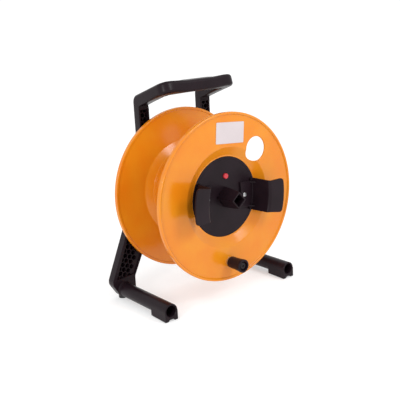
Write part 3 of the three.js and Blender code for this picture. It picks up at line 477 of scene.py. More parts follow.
def honeycomb(name, outline, corner, tilt, columns, rows):
    """Hexagonal cells in a pattern that starts at a corner and leans by tilt, kept inside an outline."""
    bpy.ops.mesh.primitive_cylinder_add(
        vertices=6,
        radius=(CELL_PITCH - CELL_RIB) / math.sqrt(3),
        depth=CELL_DEPTH + 0.002,
        location=(corner[0], FRAME_FRONT + (CELL_DEPTH - 0.002) / 2, corner[1]),
        rotation=(math.pi / 2, 0, 0),
    )
    cells = opened(name)
    pick(cells, "FACE", lambda point: point.y > FRAME_FRONT + CELL_DEPTH / 2)
    bpy.ops.transform.resize(value=(0.94, 1, 0.94))
    closed(cells)
    half, step = CELL_PITCH / 2, CELL_PITCH * math.sqrt(3) / 2
    for count, shift in ((2, (half, 0, step)), (columns, (CELL_PITCH, 0, 0)), (rows, (0, 0, -2 * step))):
        finished(
            cells,
            "ARRAY",
            count=count,
            use_relative_offset=False,
            use_constant_offset=True,
            constant_offset_displace=shift,
        )
    bpy.ops.object.mode_set(mode="EDIT")
    bpy.ops.mesh.select_all(action="SELECT")
    bpy.ops.transform.rotate(
        value=tilt, orient_axis="Y", center_override=(corner[0], FRAME_FRONT, corner[1])
    )
    closed(cells)
    room = closed(plate(name + "_room", outline, FRAME_FRONT - 0.002, FRAME_FRONT + 0.018, wall=STRIP_WALL))
    return welded(cells, room, operation="INTERSECT")


leg_tilt = math.atan2(HEEL_OUT - UPRIGHT_OUT, BEND_OUT_Z - HEEL_TOP)
upright_cells = honeycomb(
    "upright_cells", upright_pocket, (UPRIGHT_IN + 0.0035, STRIP_TOP - 0.012), 0, 3, 14
)
leg_cells = honeycomb("leg_cells", leg_pocket, (UPRIGHT_IN - 0.012, BEND_OUT_Z), leg_tilt, 9, 14)
recesses = [
    closed(plate(name, outline, FRAME_FRONT - 0.001, FRAME_FRONT + RECESS, wall=STRIP_WALL - 0.0006))
    for name, outline in (("upright_recess", upright_pocket), ("leg_recess", leg_pocket))
]

welded(frame_body, cross, handle, tube, toe)
welded(frame_body, bore, notch, pad_socket, upright_cells, leg_cells, *recesses, operation="DIFFERENCE")
alone(frame_body)
bpy.ops.object.mode_set(mode="EDIT")
bpy.ops.mesh.select_all(action="SELECT")
bpy.ops.mesh.bisect(plane_co=(0, 0, 0), plane_no=(1, 0, 0), clear_inner=True)
bpy.ops.object.mode_set(mode="OBJECT")
finished(frame_body, "MIRROR", merge_threshold=NEAR)
bpy.ops.object.mode_set(mode="EDIT")
closed(frame_body)
shaded(frame_body)


class Wire:
    """One value on its way through a material's nodes. Sums and products of wires add Math nodes."""

    def __init__(self, tree, socket=None):
        self.tree = tree
        self.socket = socket

    def node(self, kind, settings=None, sockets=None, out=0):
        """Any node: its settings first, then the numbers or wires of its sockets."""
        made = self.tree.nodes.new(kind)
        for name, value in (settings or {}).items():
            if name == "stops":
                stops = made.color_ramp.elements
                while len(stops) < len(value):
                    stops.new(1)
                for stop, (place, level) in zip(stops, value):
                    stop.position = place
                    stop.color = (level, level, level, 1)
            else:
                setattr(made, name, value)
        for name, value in (sockets or {}).items():
            if isinstance(value, Wire):
                self.tree.links.new(value.socket, made.inputs[name])
            else:
                made.inputs[name].default_value = value
        return Wire(self.tree, made.outputs[out]) if made.outputs else None

    def sum(self, operation, left, right):
        return self.node("ShaderNodeMath", {"operation": operation}, {0: left, 1: right})

    def __add__(self, other):
        return self.sum("ADD", self, other)

    def __sub__(self, other):
        return self.sum("SUBTRACT", self, other)

    def __rsub__(self, other):
        return self.sum("SUBTRACT", other, self)

    def __mul__(self, other):
        return self.sum("MULTIPLY", self, other)

    __radd__ = __add__
    __rmul__ = __mul__

    def noise(self, where, size, detail=2.0, rough=0.5):
        """Cloudy values from 0 to 1 whose features are about this many metres across."""
        return self.node(
            "ShaderNodeTexNoise",
            sockets={"Vector": where, "Scale": 1 / size, "Detail": detail, "Roughness": rough},
        )

    def between(self, low, high):
        """0 below low and 1 above high."""
        return self.node("ShaderNodeValToRGB", {"stops": [(low, 0), (high, 1)]}, {"Fac": self})

    def blend(self, share, first, second):
        """Two colours mixed by a share."""
        return self.node(
            "ShaderNodeMix", {"data_type": "RGBA"}, {0: share, 6: first, 7: second}, out=2
        )


def moulding(name, deep, light, roughness, grain, grain_depth, peel_depth, scuffs=0.05, fixed=None):
    """Moulded plastic: clouded colour, fine mould grain, slow waviness and hair-thin scuffs. The colour
    leans from deep to light in soft clouds and along rubbed edges."""
    made = bpy.data.materials.new(name)
    made.use_nodes = True
    made.node_tree.nodes.clear()
    wire = Wire(made.node_tree)
    where = wire.node("ShaderNodeTexCoord", out=3)
    clouds = wire.noise(where, 0.045, 3.0)
    speck = wire.noise(where, 0.0016, 2.0)
    stretched = wire.node(
        "ShaderNodeMapping",
        sockets={"Vector": where, "Rotation": (0.5, 0.3, 0.9), "Scale": (1.0, 1.0, 26.0)},
    )
    scratch = wire.noise(stretched, 0.012, 4.0, 0.75).between(0.66, 0.74)
    edge_normal = wire.node("ShaderNodeBevel", {"samples": 6}, {"Radius": 0.0009})
    true_normal = wire.node("ShaderNodeNewGeometry", out=1)
    edge = 1 - wire.node(
        "ShaderNodeVectorMath", {"operation": "DOT_PRODUCT"}, {0: edge_normal, 1: true_normal}, out=1
    )
    rubbed = edge.between(0.02, 0.22) * wire.noise(where, 0.006, 3.0).between(0.35, 0.65)
    share = clouds.between(0.3, 0.75) * 0.55 + speck * 0.2 + rubbed * 0.45 + scratch * scuffs
    grain_height = wire.noise(where, grain, 3.0, 0.6) * grain_depth
    peel_height = wire.noise(where, 0.011, 1.0) * peel_depth
    relief = wire.node(
        "ShaderNodeBump",
        sockets={
            "Strength": 1.0,
            "Distance": 1.0,
            "Height": grain_height + peel_height - scratch * (grain_depth * scuffs * 4),
        },
    )
    shader = wire.node(
        "ShaderNodeBsdfPrincipled",
        sockets={
            "Base Color": wire.blend(share, (*deep, 1), (*light, 1)),
            "Roughness": roughness + (clouds - 0.5) * 0.12 + scratch * 0.1 - rubbed * 0.06,
            "Normal": relief,
            **(fixed or {}),
        },
    )
    wire.node("ShaderNodeOutputMaterial", sockets={"Surface": shader})
    return made


def dressed(piece, material):
    """The piece wears this material all over."""
    piece.data.materials.clear()
    piece.data.materials.append(material)
    return piece


black_moulding = moulding(
    "black_moulding",
    deep=(0.0085, 0.0042, 0.0062),
    light=(0.0180, 0.0098, 0.0140),
    roughness=0.34,
    grain=0.0011,
    grain_depth=0.00006,
    peel_depth=0.00012,
    fixed={"Specular IOR Level": 0.13},
)
dressed(frame_body, black_moulding)
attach(frame_body, "frame")
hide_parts("frame")

# ---- Axle, its nut and washers, and the lock ring -------------------------------------------
# A zinc-plated steel axle bolts into the frame's boss, with its nut and washer in the boss's rear
# pocket. Nylon bushes and a thrust washer turn on it. The lock ring is screwed to the boss's front.


def plated_steel(name, colour, roughness):
    """Zinc plate: cloudy lustre, fine turning lines round Y and small dull specks."""
    made = bpy.data.materials.new(name)
    made.use_nodes = True
    made.node_tree.nodes.clear()
    wire = Wire(made.node_tree)
    where = wire.node("ShaderNodeTexCoord", out=3)
    clouds = wire.noise(where, 0.006, 3.0)
    specks = wire.noise(where, 0.0007, 2.0).between(0.62, 0.7)
    lines = wire.noise(
        wire.node("ShaderNodeMapping", sockets={"Vector": where, "Scale": (1.0, 40.0, 1.0)}), 0.008, 2.0
    )
    relief = wire.node(
        "ShaderNodeBump",
        sockets={"Strength": 1.0, "Distance": 1.0, "Height": lines * 0.00002 - specks * 0.00002},
    )
    dull = tuple(level * 0.72 for level in colour)
    shader = wire.node(
        "ShaderNodeBsdfPrincipled",
        sockets={
            "Base Color": wire.blend(clouds.between(0.3, 0.7) * 0.6 + specks * 0.4, (*colour, 1), (*dull, 1)),
            "Metallic": 1.0 - specks * 0.3,
            "Roughness": roughness + (clouds - 0.5) * 0.2 + specks * 0.15,
            "Normal": relief,
        },
    )
    wire.node("ShaderNodeOutputMaterial", sockets={"Surface": shader})
    return made


zinc_plate = plated_steel("zinc_plate", (0.62, 0.63, 0.64), 0.3)
nylon_bearing = moulding(
    "nylon_bearing",
    deep=(0.56, 0.53, 0.44),
    light=(0.72, 0.70, 0.62),
    roughness=0.45,
    grain=0.0008,
    grain_depth=0.00002,
    peel_depth=0.00005,
)
pad_rubber = moulding(
    "pad_rubber",
    deep=(0.008, 0.0075, 0.008),
    light=(0.03, 0.028, 0.03),
    roughness=0.78,
    grain=0.0006,
    grain_depth=0.00008,
    peel_depth=0.0001,
)
KEPT_NODES = {
    "axle": zinc_plate,
    "thrust_washer": nylon_bearing,
    "keeper_washer": zinc_plate,
    "circlip": zinc_plate,
    "lock_ring_screw_1": zinc_plate,
    "lock_ring_screw_2": zinc_plate,
    "front_bush": nylon_bearing,
    "rear_bush": nylon_bearing,
    "lock_cup": black_moulding,
    "lock_spring": zinc_plate,
    "lock_rod": zinc_plate,
    "crank_washer": zinc_plate,
    "crank_nut": zinc_plate,
    "crank_spindle": zinc_plate,
}
for node, material in KEPT_NODES.items():
    dressed(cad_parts[node], material)


def middle(node):
    low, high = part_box(node)
    return (low + high) / 2


def fitted(piece, body, slot, material, *nodes):
    """A finished piece rides on its body and stands for its CAD nodes."""
    dressed(piece, material)
    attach(piece, body)
    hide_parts(*nodes)
    return piece


for side in ("left", "right"):
    low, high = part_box("heel_pad_" + side)
    pad_middle = (low + high) / 2
    pad_profile = [
        (0.0075, high.z),
        (0.0075, low.z, 0.0009),
        (0.0056, low.z, 0.0003),
        (0.0052, low.z + 0.0007, 0.0003),
        (0.0034, low.z + 0.0007, 0.0003),
        (0.003, low.z, 0.0003),
    ]
    pad = turned("pad_" + side, pad_profile, sides=48)
    bpy.ops.mesh.select_all(action="SELECT")
    bpy.ops.transform.rotate(value=-math.pi / 2, orient_axis="X", center_override=(0, 0, 0))
    bpy.ops.transform.translate(value=(pad_middle.x, pad_middle.y, 0))
    shaded(closed(pad))
    fitted(pad, "frame", "rubber", pad_rubber, "heel_pad_" + side)


def drilled(piece, profile, x, z, sides):
    """A hole of this profile, about a line along Y, is cut out of the piece."""
    cutter = closed(turned(piece.name + "_hole", profile, x, z, sides))
    return welded(piece, cutter, operation="DIFFERENCE")


def nut(name, node, hole, chamfer):
    """A hexagon nut: six flats under a chamfer that rounds its corners, and a bore."""
    low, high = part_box(node)
    centre = (low + high) / 2
    radius = max(high.x - low.x, high.z - low.z) / 2
    blank = turned(name, [(radius, low.y), (radius, high.y)], centre.x, centre.z, 6)
    closed(blank)
    room = turned(
        name + "_chamfer",
        [
            (radius * 0.88, low.y - NEAR),
            (radius * 1.02, low.y + chamfer),
            (radius * 1.02, high.y - chamfer),
            (radius * 0.88, high.y + NEAR),
        ],
        centre.x,
        centre.z,
        48,
    )
    welded(blank, closed(room), operation="INTERSECT")
    bore_profile = [
        (hole * 1.25, low.y - 0.0002),
        (hole, low.y + 0.001),
        (hole, high.y - 0.001),
        (hole * 1.25, high.y + 0.0002),
    ]
    return shaded(drilled(blank, bore_profile, centre.x, centre.z, 36))


def washer(name, node, hole, sides=64):
    """A stamped washer: rounded on its punched edge, sharp on the other."""
    low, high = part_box(node)
    centre = (low + high) / 2
    radius = (high.x - low.x) / 2
    profile = [(hole, low.y), (radius, low.y, 0.0001), (radius, high.y, 0.0004), (hole, high.y, 0.0002)]
    return shaded(closed(turned(name, profile, centre.x, centre.z, sides, ring=True)))


STUD_HOLE_R = 0.0053
hex_nut = nut("axle_hex_nut", "axle_nut", hole=STUD_HOLE_R, chamfer=0.0008)
fitted(hex_nut, "frame", "zinc_steel", zinc_plate, "axle_nut")
flat_washer = washer("axle_flat_washer", "axle_washer", hole=STUD_HOLE_R)
fitted(flat_washer, "frame", "zinc_steel", zinc_plate, "axle_washer")

ring_low, ring_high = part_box("lock_ring")
LOCK_AT = 0.0355
LOCK_HALF_WIDTH = 0.006
LOCK_HOLES = 8
lock_profile = [
    (LOCK_AT - LOCK_HALF_WIDTH, ring_low.y, 0.0004),
    (LOCK_AT + LOCK_HALF_WIDTH, ring_low.y, 0.0004),
    (LOCK_AT + LOCK_HALF_WIDTH, ring_high.y, 0.0002),
    (LOCK_AT - LOCK_HALF_WIDTH, ring_high.y, 0.0002),
]
lock_ring = closed(turned("drilled_lock_ring", lock_profile, AXLE_X, AXLE_Z, 96, ring=True))
button_at = middle("lock_button")
DRUM_TURN = math.atan2(button_at.x - AXLE_X, button_at.z - AXLE_Z)
lock_hole_profile = [
    (0.0034, ring_low.y - 0.0001),
    (0.0029, ring_low.y + 0.0005),
    (0.0029, ring_high.y + 0.0005),
]
for index in range(LOCK_HOLES):
    angle = DRUM_TURN + 2 * math.pi * index / LOCK_HOLES
    hole_x, hole_z = AXLE_X + LOCK_AT * math.sin(angle), AXLE_Z + LOCK_AT * math.cos(angle)
    drilled(lock_ring, lock_hole_profile, hole_x, hole_z, 24)
screw_seat_profile = [
    (0.0034, ring_low.y - 0.0001),
    (0.0032, ring_low.y + 0.0006),
    (0.0018, ring_low.y + 0.002),
    (0.0018, ring_high.y + 0.0005),
]
for screw in ("lock_ring_screw_1", "lock_ring_screw_2"):
    spot = middle(screw)
    drilled(lock_ring, screw_seat_profile, spot.x, spot.z, 32)
fitted(shaded(lock_ring), "frame", "zinc_steel", zinc_plate, "lock_ring")

# ---- Flanges and barrel ----------------------------------------------------------------------
# Two dished flanges in glossy orange plastic, each with a rolled rim, clamp a plain barrel between
# them. The front one has the cable hole; the rear one has the rear bush's boss on six ribs.

DRUM_MIDDLE_Y = middle("barrel").y
FLANGE_R = (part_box("front_flange")[1].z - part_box("front_flange")[0].z) / 2
DISC_R = 0.0684
FLANGE_SIDES = 200
RIM_FACE = 0.065
PLATE_FACE = 0.062
PLATE_BACK = 0.059
DISH_R = 0.086
DISH_FACE = 0.053
SEAT_FACE = 0.0497
SEAT_BACK = 0.0467
LAND_R = DISC_R + 0.0016
BARREL_R = 0.071

orange_moulding = moulding(
    "orange_moulding",
    deep=(0.65, 0.175, 0.005),
    light=(0.67, 0.265, 0.011),
    roughness=0.19,
    grain=0.0009,
    grain_depth=0.000006,
    peel_depth=0.00009,
    scuffs=0.3,
    fixed={"Specular IOR Level": 0.42},
)


def flange_profile(way, inner):
    """Half section of a flange outside its hub, from the dish's seat round the rim and back."""
    dish_slope = (PLATE_FACE - DISH_FACE) / (DISH_R - LAND_R)
    back_shift = (PLATE_FACE - PLATE_BACK) * (math.hypot(1, dish_slope) - 1) / dish_slope
    dish_back = PLATE_BACK - (DISH_R - back_shift - BARREL_R - 0.0003) * dish_slope
    section = [
        (BARREL_R + 0.0003, SEAT_BACK, 0.0006),
        (BARREL_R + 0.0003, dish_back, 0.0008),
        (DISH_R - back_shift, PLATE_BACK, 0.0012),
        (FLANGE_R - 0.0046, PLATE_BACK, 0.0007),
        (FLANGE_R - 0.0038, RIM_FACE - 0.0075, 0.0007),
        (FLANGE_R, RIM_FACE - 0.0075, 0.0009),
        (FLANGE_R, RIM_FACE, 0.0017),
        (FLANGE_R - 0.0036, RIM_FACE, 0.0014),
        (FLANGE_R - 0.0048, PLATE_FACE, 0.0011),
        (DISH_R, PLATE_FACE, 0.0018),
        (LAND_R + 0.0002, DISH_FACE, 0.0012),
        (DISC_R + 0.0006, DISH_FACE, 0.0003),
        (DISC_R + 0.0006, SEAT_FACE),
        *inner,
    ]
    return [(radius, DRUM_MIDDLE_Y + way * y, *rounding) for radius, y, *rounding in section]


SEAT_INNER_R = DISC_R - 0.0084
front_flange = closed(
    turned(
        "front_flange_shell",
        flange_profile(-1, [(SEAT_INNER_R, SEAT_FACE, 0.0004), (SEAT_INNER_R, SEAT_BACK, 0.0004)]),
        AXLE_X,
        AXLE_Z,
        FLANGE_SIDES,
        ring=True,
    )
)
CABLE_HOLE_R = 0.021
CABLE_HOLE_AT = 0.098
cable_angle = math.radians(53) - DRUM_TURN
cable_x = AXLE_X + CABLE_HOLE_AT * math.cos(cable_angle)
cable_z = AXLE_Z + CABLE_HOLE_AT * math.sin(cable_angle)
front_face_y = DRUM_MIDDLE_Y - PLATE_FACE
cable_hole_profile = [(CABLE_HOLE_R, front_face_y - 0.004), (CABLE_HOLE_R, front_face_y + 0.02)]
drilled(front_flange, cable_hole_profile, cable_x, cable_z, 72)
SPINDLE_HOLE_R = 0.0033
knob_at = middle("crank_knob")
spindle_hole_profile = [(SPINDLE_HOLE_R, front_face_y - 0.002), (SPINDLE_HOLE_R, front_face_y + 0.006)]
drilled(front_flange, spindle_hole_profile, knob_at.x, knob_at.z, 32)
alone(front_flange)
bpy.ops.object.mode_set(mode="EDIT")
soften(
    front_flange,
    lambda point: abs(math.hypot(point.x - cable_x, point.z - cable_z) - CABLE_HOLE_R) < 4 * NEAR,
    0.0009,
    3,
    math.radians(40),
)
closed(front_flange)
fitted(shaded(front_flange), "drum", "orange_plastic", orange_moulding, "front_flange")

BEARING_R = 0.00905
HUB_BOSS_R = 0.020
HUB_REAR = SEAT_FACE + 0.012
hub_section = [
    (HUB_BOSS_R, SEAT_FACE, 0.001),
    (HUB_BOSS_R - 0.0004, HUB_REAR, 0.0009),
    (BEARING_R, HUB_REAR, 0.0005),
    (BEARING_R, SEAT_BACK, 0.0003),
]
rear_flange = closed(
    turned("rear_flange_shell", flange_profile(1, hub_section), AXLE_X, AXLE_Z, FLANGE_SIDES, ring=True)
)
REAR_RIBS = 6
RIB_HEIGHT = 0.007
rib_foot_y = DRUM_MIDDLE_Y + SEAT_FACE - 0.001
for index in range(REAR_RIBS):
    rib_outline = [
        (AXLE_X + HUB_BOSS_R - 0.001, rib_foot_y),
        (AXLE_X + DISC_R + 0.001, rib_foot_y),
        (AXLE_X + DISC_R + 0.001, rib_foot_y + 0.0035),
        (AXLE_X + DISC_R - 0.006, rib_foot_y + RIB_HEIGHT, 0.004),
        (AXLE_X + HUB_BOSS_R + 0.004, rib_foot_y + RIB_HEIGHT),
        (AXLE_X + HUB_BOSS_R - 0.001, rib_foot_y + RIB_HEIGHT + 0.003),
    ]
    rib = plate("hub_rib", rib_outline, AXLE_Z - 0.0015, AXLE_Z + 0.0015, "Z")
    soften(rib, lambda point: point.y > rib_foot_y + 0.003, 0.0006, 2, math.radians(60))
    bpy.ops.mesh.select_all(action="SELECT")
    bpy.ops.transform.rotate(
        value=2 * math.pi * index / REAR_RIBS - DRUM_TURN,
        orient_axis="Y",
        center_override=(AXLE_X, rib_foot_y, AXLE_Z),
    )
    welded(rear_flange, closed(rib))
LOCK_ROD_HOLE_R = 0.00255
TIE_HOLE_R = 0.0027
through_holes = [(button_at.x, button_at.z, LOCK_ROD_HOLE_R)]
TIE_BOLTS = ("tie_bolt_1", "tie_bolt_2", "tie_bolt_3", "tie_bolt_4")
through_holes += [(middle(bolt).x, middle(bolt).z, TIE_HOLE_R) for bolt in TIE_BOLTS]
for hole_x, hole_z, radius in through_holes:
    hole_profile = [
        (radius, DRUM_MIDDLE_Y + SEAT_BACK - 0.001),
        (radius, DRUM_MIDDLE_Y + SEAT_FACE + 0.001),
    ]
    drilled(rear_flange, hole_profile, hole_x, hole_z, 28)
fitted(shaded(rear_flange), "drum", "orange_plastic", orange_moulding, "rear_flange")

BARREL_END = 0.0464
BARREL_WALL = 0.003
barrel_profile = [
    (BARREL_R, DRUM_MIDDLE_Y - BARREL_END, 0.0005),
    (BARREL_R, DRUM_MIDDLE_Y - BARREL_END + 0.006, 0.0004),
    (BARREL_R - 0.0005, DRUM_MIDDLE_Y - BARREL_END + 0.007, 0.0004),
    (BARREL_R - 0.0005, DRUM_MIDDLE_Y + BARREL_END - 0.007, 0.0004),
    (BARREL_R, DRUM_MIDDLE_Y + BARREL_END - 0.006, 0.0004),
    (BARREL_R, DRUM_MIDDLE_Y + BARREL_END, 0.0005),
    (BARREL_R - BARREL_WALL, DRUM_MIDDLE_Y + BARREL_END, 0.0003),
    (BARREL_R - BARREL_WALL, DRUM_MIDDLE_Y - BARREL_END, 0.0003),
]
barrel = closed(turned("barrel_tube", barrel_profile, AXLE_X, AXLE_Z, FLANGE_SIDES, ring=True))
fitted(shaded(barrel), "drum", "orange_plastic", orange_moulding, "barrel")


def swung(piece):
    """The piece, modelled with the drum upright, is turned with the drum to where it stands at rest."""
    alone(piece)
    bpy.ops.object.mode_set(mode="EDIT")
    bpy.ops.mesh.select_all(action="SELECT")
    bpy.ops.transform.rotate(value=-DRUM_TURN, orient_axis="Y", center_override=(AXLE_X, 0, AXLE_Z))
    bpy.ops.object.mode_set(mode="OBJECT")
    return piece


# ---- Label -----------------------------------------------------------------------------------
# A blank rectangle of printed film with rounded corners, stuck on the front flange's plate.

LABEL_WIDTH = 0.0595
LABEL_HEIGHT = 0.035
LABEL_AT = 0.1085
LABEL_CORNER_R = 0.0016
label_back = DRUM_MIDDLE_Y - PLATE_FACE - 0.0003
label_outline = [
    (AXLE_X + u * LABEL_WIDTH / 2, AXLE_Z + LABEL_AT + v * LABEL_HEIGHT / 2, LABEL_CORNER_R)
    for u, v in ((-1, -1), (1, -1), (1, 1), (-1, 1))
]
label = plate("label_film_sheet", label_outline, label_back - 0.0003, label_back)
soften(label, lambda point: point.y < label_back - 0.0002, 0.00008, 1, math.radians(60))
label_film = moulding(
    "label_film",
    deep=(0.51, 0.45, 0.46),
    light=(0.59, 0.52, 0.53),
    roughness=0.38,
    grain=0.0012,
    grain_depth=0.000008,
    peel_depth=0.00003,
)
fitted(swung(closed(label)), "drum", "label_film", label_film, "label")

# ---- Hub disc --------------------------------------------------------------------------------
# A black plastic disc let into the front dish. Four tie bolts draw it and the rear flange together
# over the barrel; it carries the front bush, the hooks, the socket and the lock button.

disc_front = DRUM_MIDDLE_Y - DISH_FACE
disc_back = disc_front + 0.003
disc_profile = [
    (BEARING_R, disc_front),
    (DISC_R - 0.0046, disc_front, 0.0004),
    (DISC_R - 0.0042, disc_front - 0.0004, 0.0003),
    (DISC_R, disc_front - 0.0004, 0.0008),
    (DISC_R, disc_back, 0.0004),
    (0.015, disc_back, 0.001),
    (0.014, disc_back + 0.016, 0.0006),
    (BEARING_R, disc_back + 0.016),
]
hub_disc = closed(turned("hub_disc_plate", disc_profile, AXLE_X, AXLE_Z, FLANGE_SIDES, ring=True))
HOOK_HOLE_R = 0.0023
boss_spots = [
    (middle(bolt).x, middle(bolt).z, 0.0055, 0.020, TIE_HOLE_R, False) for bolt in TIE_BOLTS
]
for screw in ("hook_screw_left", "hook_screw_right"):
    boss_spots.append((middle(screw).x, middle(screw).z, 0.005, 0.012, HOOK_HOLE_R, True))
for boss_x, boss_z, radius, length, bore_radius, through in boss_spots:
    post_profile = [
        (radius + 0.0004, disc_back - 0.001),
        (radius, disc_back + length, 0.0005),
        (bore_radius, disc_back + length),
        (bore_radius, disc_back - 0.001),
    ]
    post = closed(turned("disc_post", post_profile, boss_x, boss_z, 36, ring=True))
    welded(hub_disc, post)
    if through:
        bore_profile = [(bore_radius, disc_front - 0.001), (bore_radius, disc_back + 0.001)]
        drilled(hub_disc, bore_profile, boss_x, boss_z, 36)
BUTTON_R = 0.0046
button_hole_profile = [
    (BUTTON_R + 0.0009, disc_front - 0.0002),
    (BUTTON_R + 0.00035, disc_front + 0.0004),
    (BUTTON_R + 0.00035, disc_back + 0.001),
]
drilled(hub_disc, button_hole_profile, button_at.x, button_at.z, 48)
fitted(shaded(hub_disc), "drum", "black_plastic", black_moulding, "hub_disc")


def capped_screw(name, node, head_radius, head_height, shank_radius, key_radius, faces_front=True):
    """A screw with a domed head, a hexagon key recess and a shank."""
    low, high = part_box(node)
    centre = (low + high) / 2
    way = 1 if faces_front else -1
    face = low.y if faces_front else high.y
    end = high.y if faces_front else low.y
    profile = [
        (head_radius * 0.86, face),
        (head_radius, face + way * head_height * 0.45, head_height * 0.2),
        (head_radius, face + way * head_height, 0.00015),
        (shank_radius, face + way * head_height),
        (shank_radius, end - way * 0.0008),
        (shank_radius * 0.7, end),
    ]
    screw = turned(name, profile, centre.x, centre.z, 40)
    soften(screw, lambda point: abs(point.y - face) < NEAR, head_height * 0.18, 2)
    closed(screw)
    key_profile = [
        (key_radius * 1.12, face - way * 0.0002),
        (key_radius, face + way * 0.0003),
        (key_radius, face + way * head_height * 0.6),
    ]
    return shaded(drilled(screw, key_profile, centre.x, centre.z, 6))


for bolt in TIE_BOLTS:
    cap = capped_screw(
        bolt + "_cap",
        bolt,
        head_radius=0.0046,
        head_height=0.0034,
        shank_radius=0.0024,
        key_radius=0.0023,
        faces_front=False,
    )
    fitted(cap, "drum", "zinc_steel", zinc_plate, bolt)

# ---- Cable hooks -----------------------------------------------------------------------------
# Two black plastic hooks hold the loose end of a cable. Each has a foot screwed to the disc, a
# bowed web that stands forward, and a lip turned outwards, all one wall thick.

HOOK_WALL = 0.0035
HOOK_FOOT_START = 0.033
HOOK_ROOT = 0.0615
HOOK_FOLD = 0.0665
HOOK_TIP = 0.0962
HOOK_REACH = 0.042
HOOK_LEAN = 0.002
HOOK_BOW = 0.0032
HOOK_SCREW_AT = 0.0404
FOOT_HALF = 0.022
FOOT_LINE = 0.0065
WEB_HALF = 0.028
FOLD_HALF = 0.0272
LIP_HALF = 0.030
LIP_CORNER_R = 0.0068
ROOT_BEND_R = 0.003
FOLD_BEND_R = 0.0042
HOOK_LEVELS = (0.0065, 0.0125, 0.0185, 0.0248, 0.032)
hook_seat = disc_front - 0.0003 - HOOK_WALL / 2
hook_fold_y = disc_front - HOOK_REACH + HOOK_WALL / 2


def folded(line, radii, wall):
    """Outline of a sheet of this thickness, folded along a line of points at bends of these radii."""
    spots = [Vector(spot) for spot in line]
    ways = [(after - before).normalized() for before, after in zip(spots, spots[1:])]
    sides = []
    for way in (1, -1):
        across = [Vector((-along.y, along.x)) * way for along in ways]
        corners = [tuple(spots[0] + across[0] * wall / 2)]
        for spot, first, second, along, radius in zip(spots[1:], across, across[1:], ways[1:], radii):
            corner = spot + (first + second) * wall / 2 / (1 + first.dot(second))
            bent_towards = first.dot(along) > 0
            corners.append((*corner, radius - wall / 2 if bent_towards else radius + wall / 2))
        corners.append(tuple(spots[-1] + across[-1] * wall / 2))
        sides.append(corners)
    return sides[0] + sides[1][::-1]


def hook_bow(height):
    return HOOK_BOW * (height / WEB_HALF) ** 2


def cable_hook(name, node, side):
    line = [
        (HOOK_FOOT_START, hook_seat),
        (HOOK_ROOT, hook_seat),
        (HOOK_FOLD, hook_fold_y),
        (HOOK_TIP, hook_fold_y - HOOK_LEAN),
    ]
    outline = folded(line, (ROOT_BEND_R, FOLD_BEND_R), HOOK_WALL)
    outline = [(AXLE_X + side * x, y, *fillet) for x, y, *fillet in outline]
    piece = plate(name, outline, AXLE_Z - HOOK_LEVELS[0], AXLE_Z + HOOK_LEVELS[0], "Z")
    for way in (-1, 1):
        for below, above in zip(HOOK_LEVELS, HOOK_LEVELS[1:]):
            pick(piece, "FACE", lambda point: abs(point.z - AXLE_Z - way * below) < NEAR)
            shift = side * (hook_bow(below) - hook_bow(above))
            bpy.ops.mesh.extrude_region_move(
                TRANSFORM_OT_translate={"value": (shift, 0, way * (above - below))}
            )
    closed(piece)
    upper_outline = [
        (HOOK_FOOT_START - 0.01, FOOT_HALF),
        (HOOK_ROOT - FOOT_LINE, FOOT_HALF),
        (HOOK_ROOT - FOOT_LINE, WEB_HALF),
        (HOOK_FOLD, FOLD_HALF),
        (HOOK_TIP + 0.0003 - hook_bow(LIP_HALF), LIP_HALF, LIP_CORNER_R),
        (HOOK_TIP + 0.0012 - hook_bow(LIP_HALF / 2), LIP_HALF / 2),
    ]
    room_outline = [(AXLE_X + side * x, AXLE_Z + z, *fillet) for x, z, *fillet in upper_outline]
    room_outline += [(AXLE_X + side * x, AXLE_Z - z, *fillet) for x, z, *fillet in upper_outline[::-1]]
    room = closed(plate(name + "_room", room_outline, hook_fold_y - 0.01, disc_front + 0.001, steps=8))
    welded(piece, room, operation="INTERSECT")
    alone(piece)
    bpy.ops.object.mode_set(mode="EDIT")
    soften(piece, lambda point: True, 0.0007, 2, math.radians(55))
    closed(piece)
    for height in (-1, 1):
        inner_x = HOOK_ROOT - 0.0015
        gusset_outline = [
            (side * (inner_x - 0.0095), hook_seat),
            (side * inner_x, hook_seat),
            (side * inner_x, hook_seat - 0.0095),
            (side * (inner_x - 0.0015), hook_seat - 0.0095),
        ]
        level = AXLE_Z + height * (FOOT_HALF - 0.0012)
        gusset = plate("hook_gusset", gusset_outline, level - 0.001, level + 0.001, "Z")
        welded(piece, closed(gusset))
    screw_at = AXLE_X + side * HOOK_SCREW_AT
    drilled(piece, [(HOOK_HOLE_R, hook_seat - 0.004), (HOOK_HOLE_R, disc_front)], screw_at, AXLE_Z, 32)
    return fitted(shaded(swung(piece)), "drum", "black_plastic", black_moulding, node)


cable_hook("cable_hook_left", "hook_left", -1)
cable_hook("cable_hook_right", "hook_right", 1)
for side in ("left", "right"):
    node = "hook_screw_" + side
    cap = capped_screw(
        node + "_cap", node, head_radius=0.004, head_height=0.0022, shank_radius=0.002, key_radius=0.0019
    )
    fitted(cap, "drum", "zinc_steel", zinc_plate, node)

# ---- Centre socket ---------------------------------------------------------------------------
# A square black plastic tube on its corner, wider at the disc and open at the front. Two pegs
# locate it; a key or a spare hook plugs into it.

SOCKET_TIP = 0.0208
SOCKET_BASE = 0.026
SOCKET_WALL = 0.0024
AXLE_ROOM_R = 0.0101
socket_tip_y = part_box("centre_socket")[0].y
socket_base_y = disc_front - 0.0003


def square_tube(name, side_at_front, side_at_back, front, back):
    """A tapered square bar on its corner, along Y."""
    half_diagonal = math.sqrt(0.5)
    profile = [(side_at_front * half_diagonal, front), (side_at_back * half_diagonal, back)]
    return turned(name, profile, AXLE_X, AXLE_Z, 4)


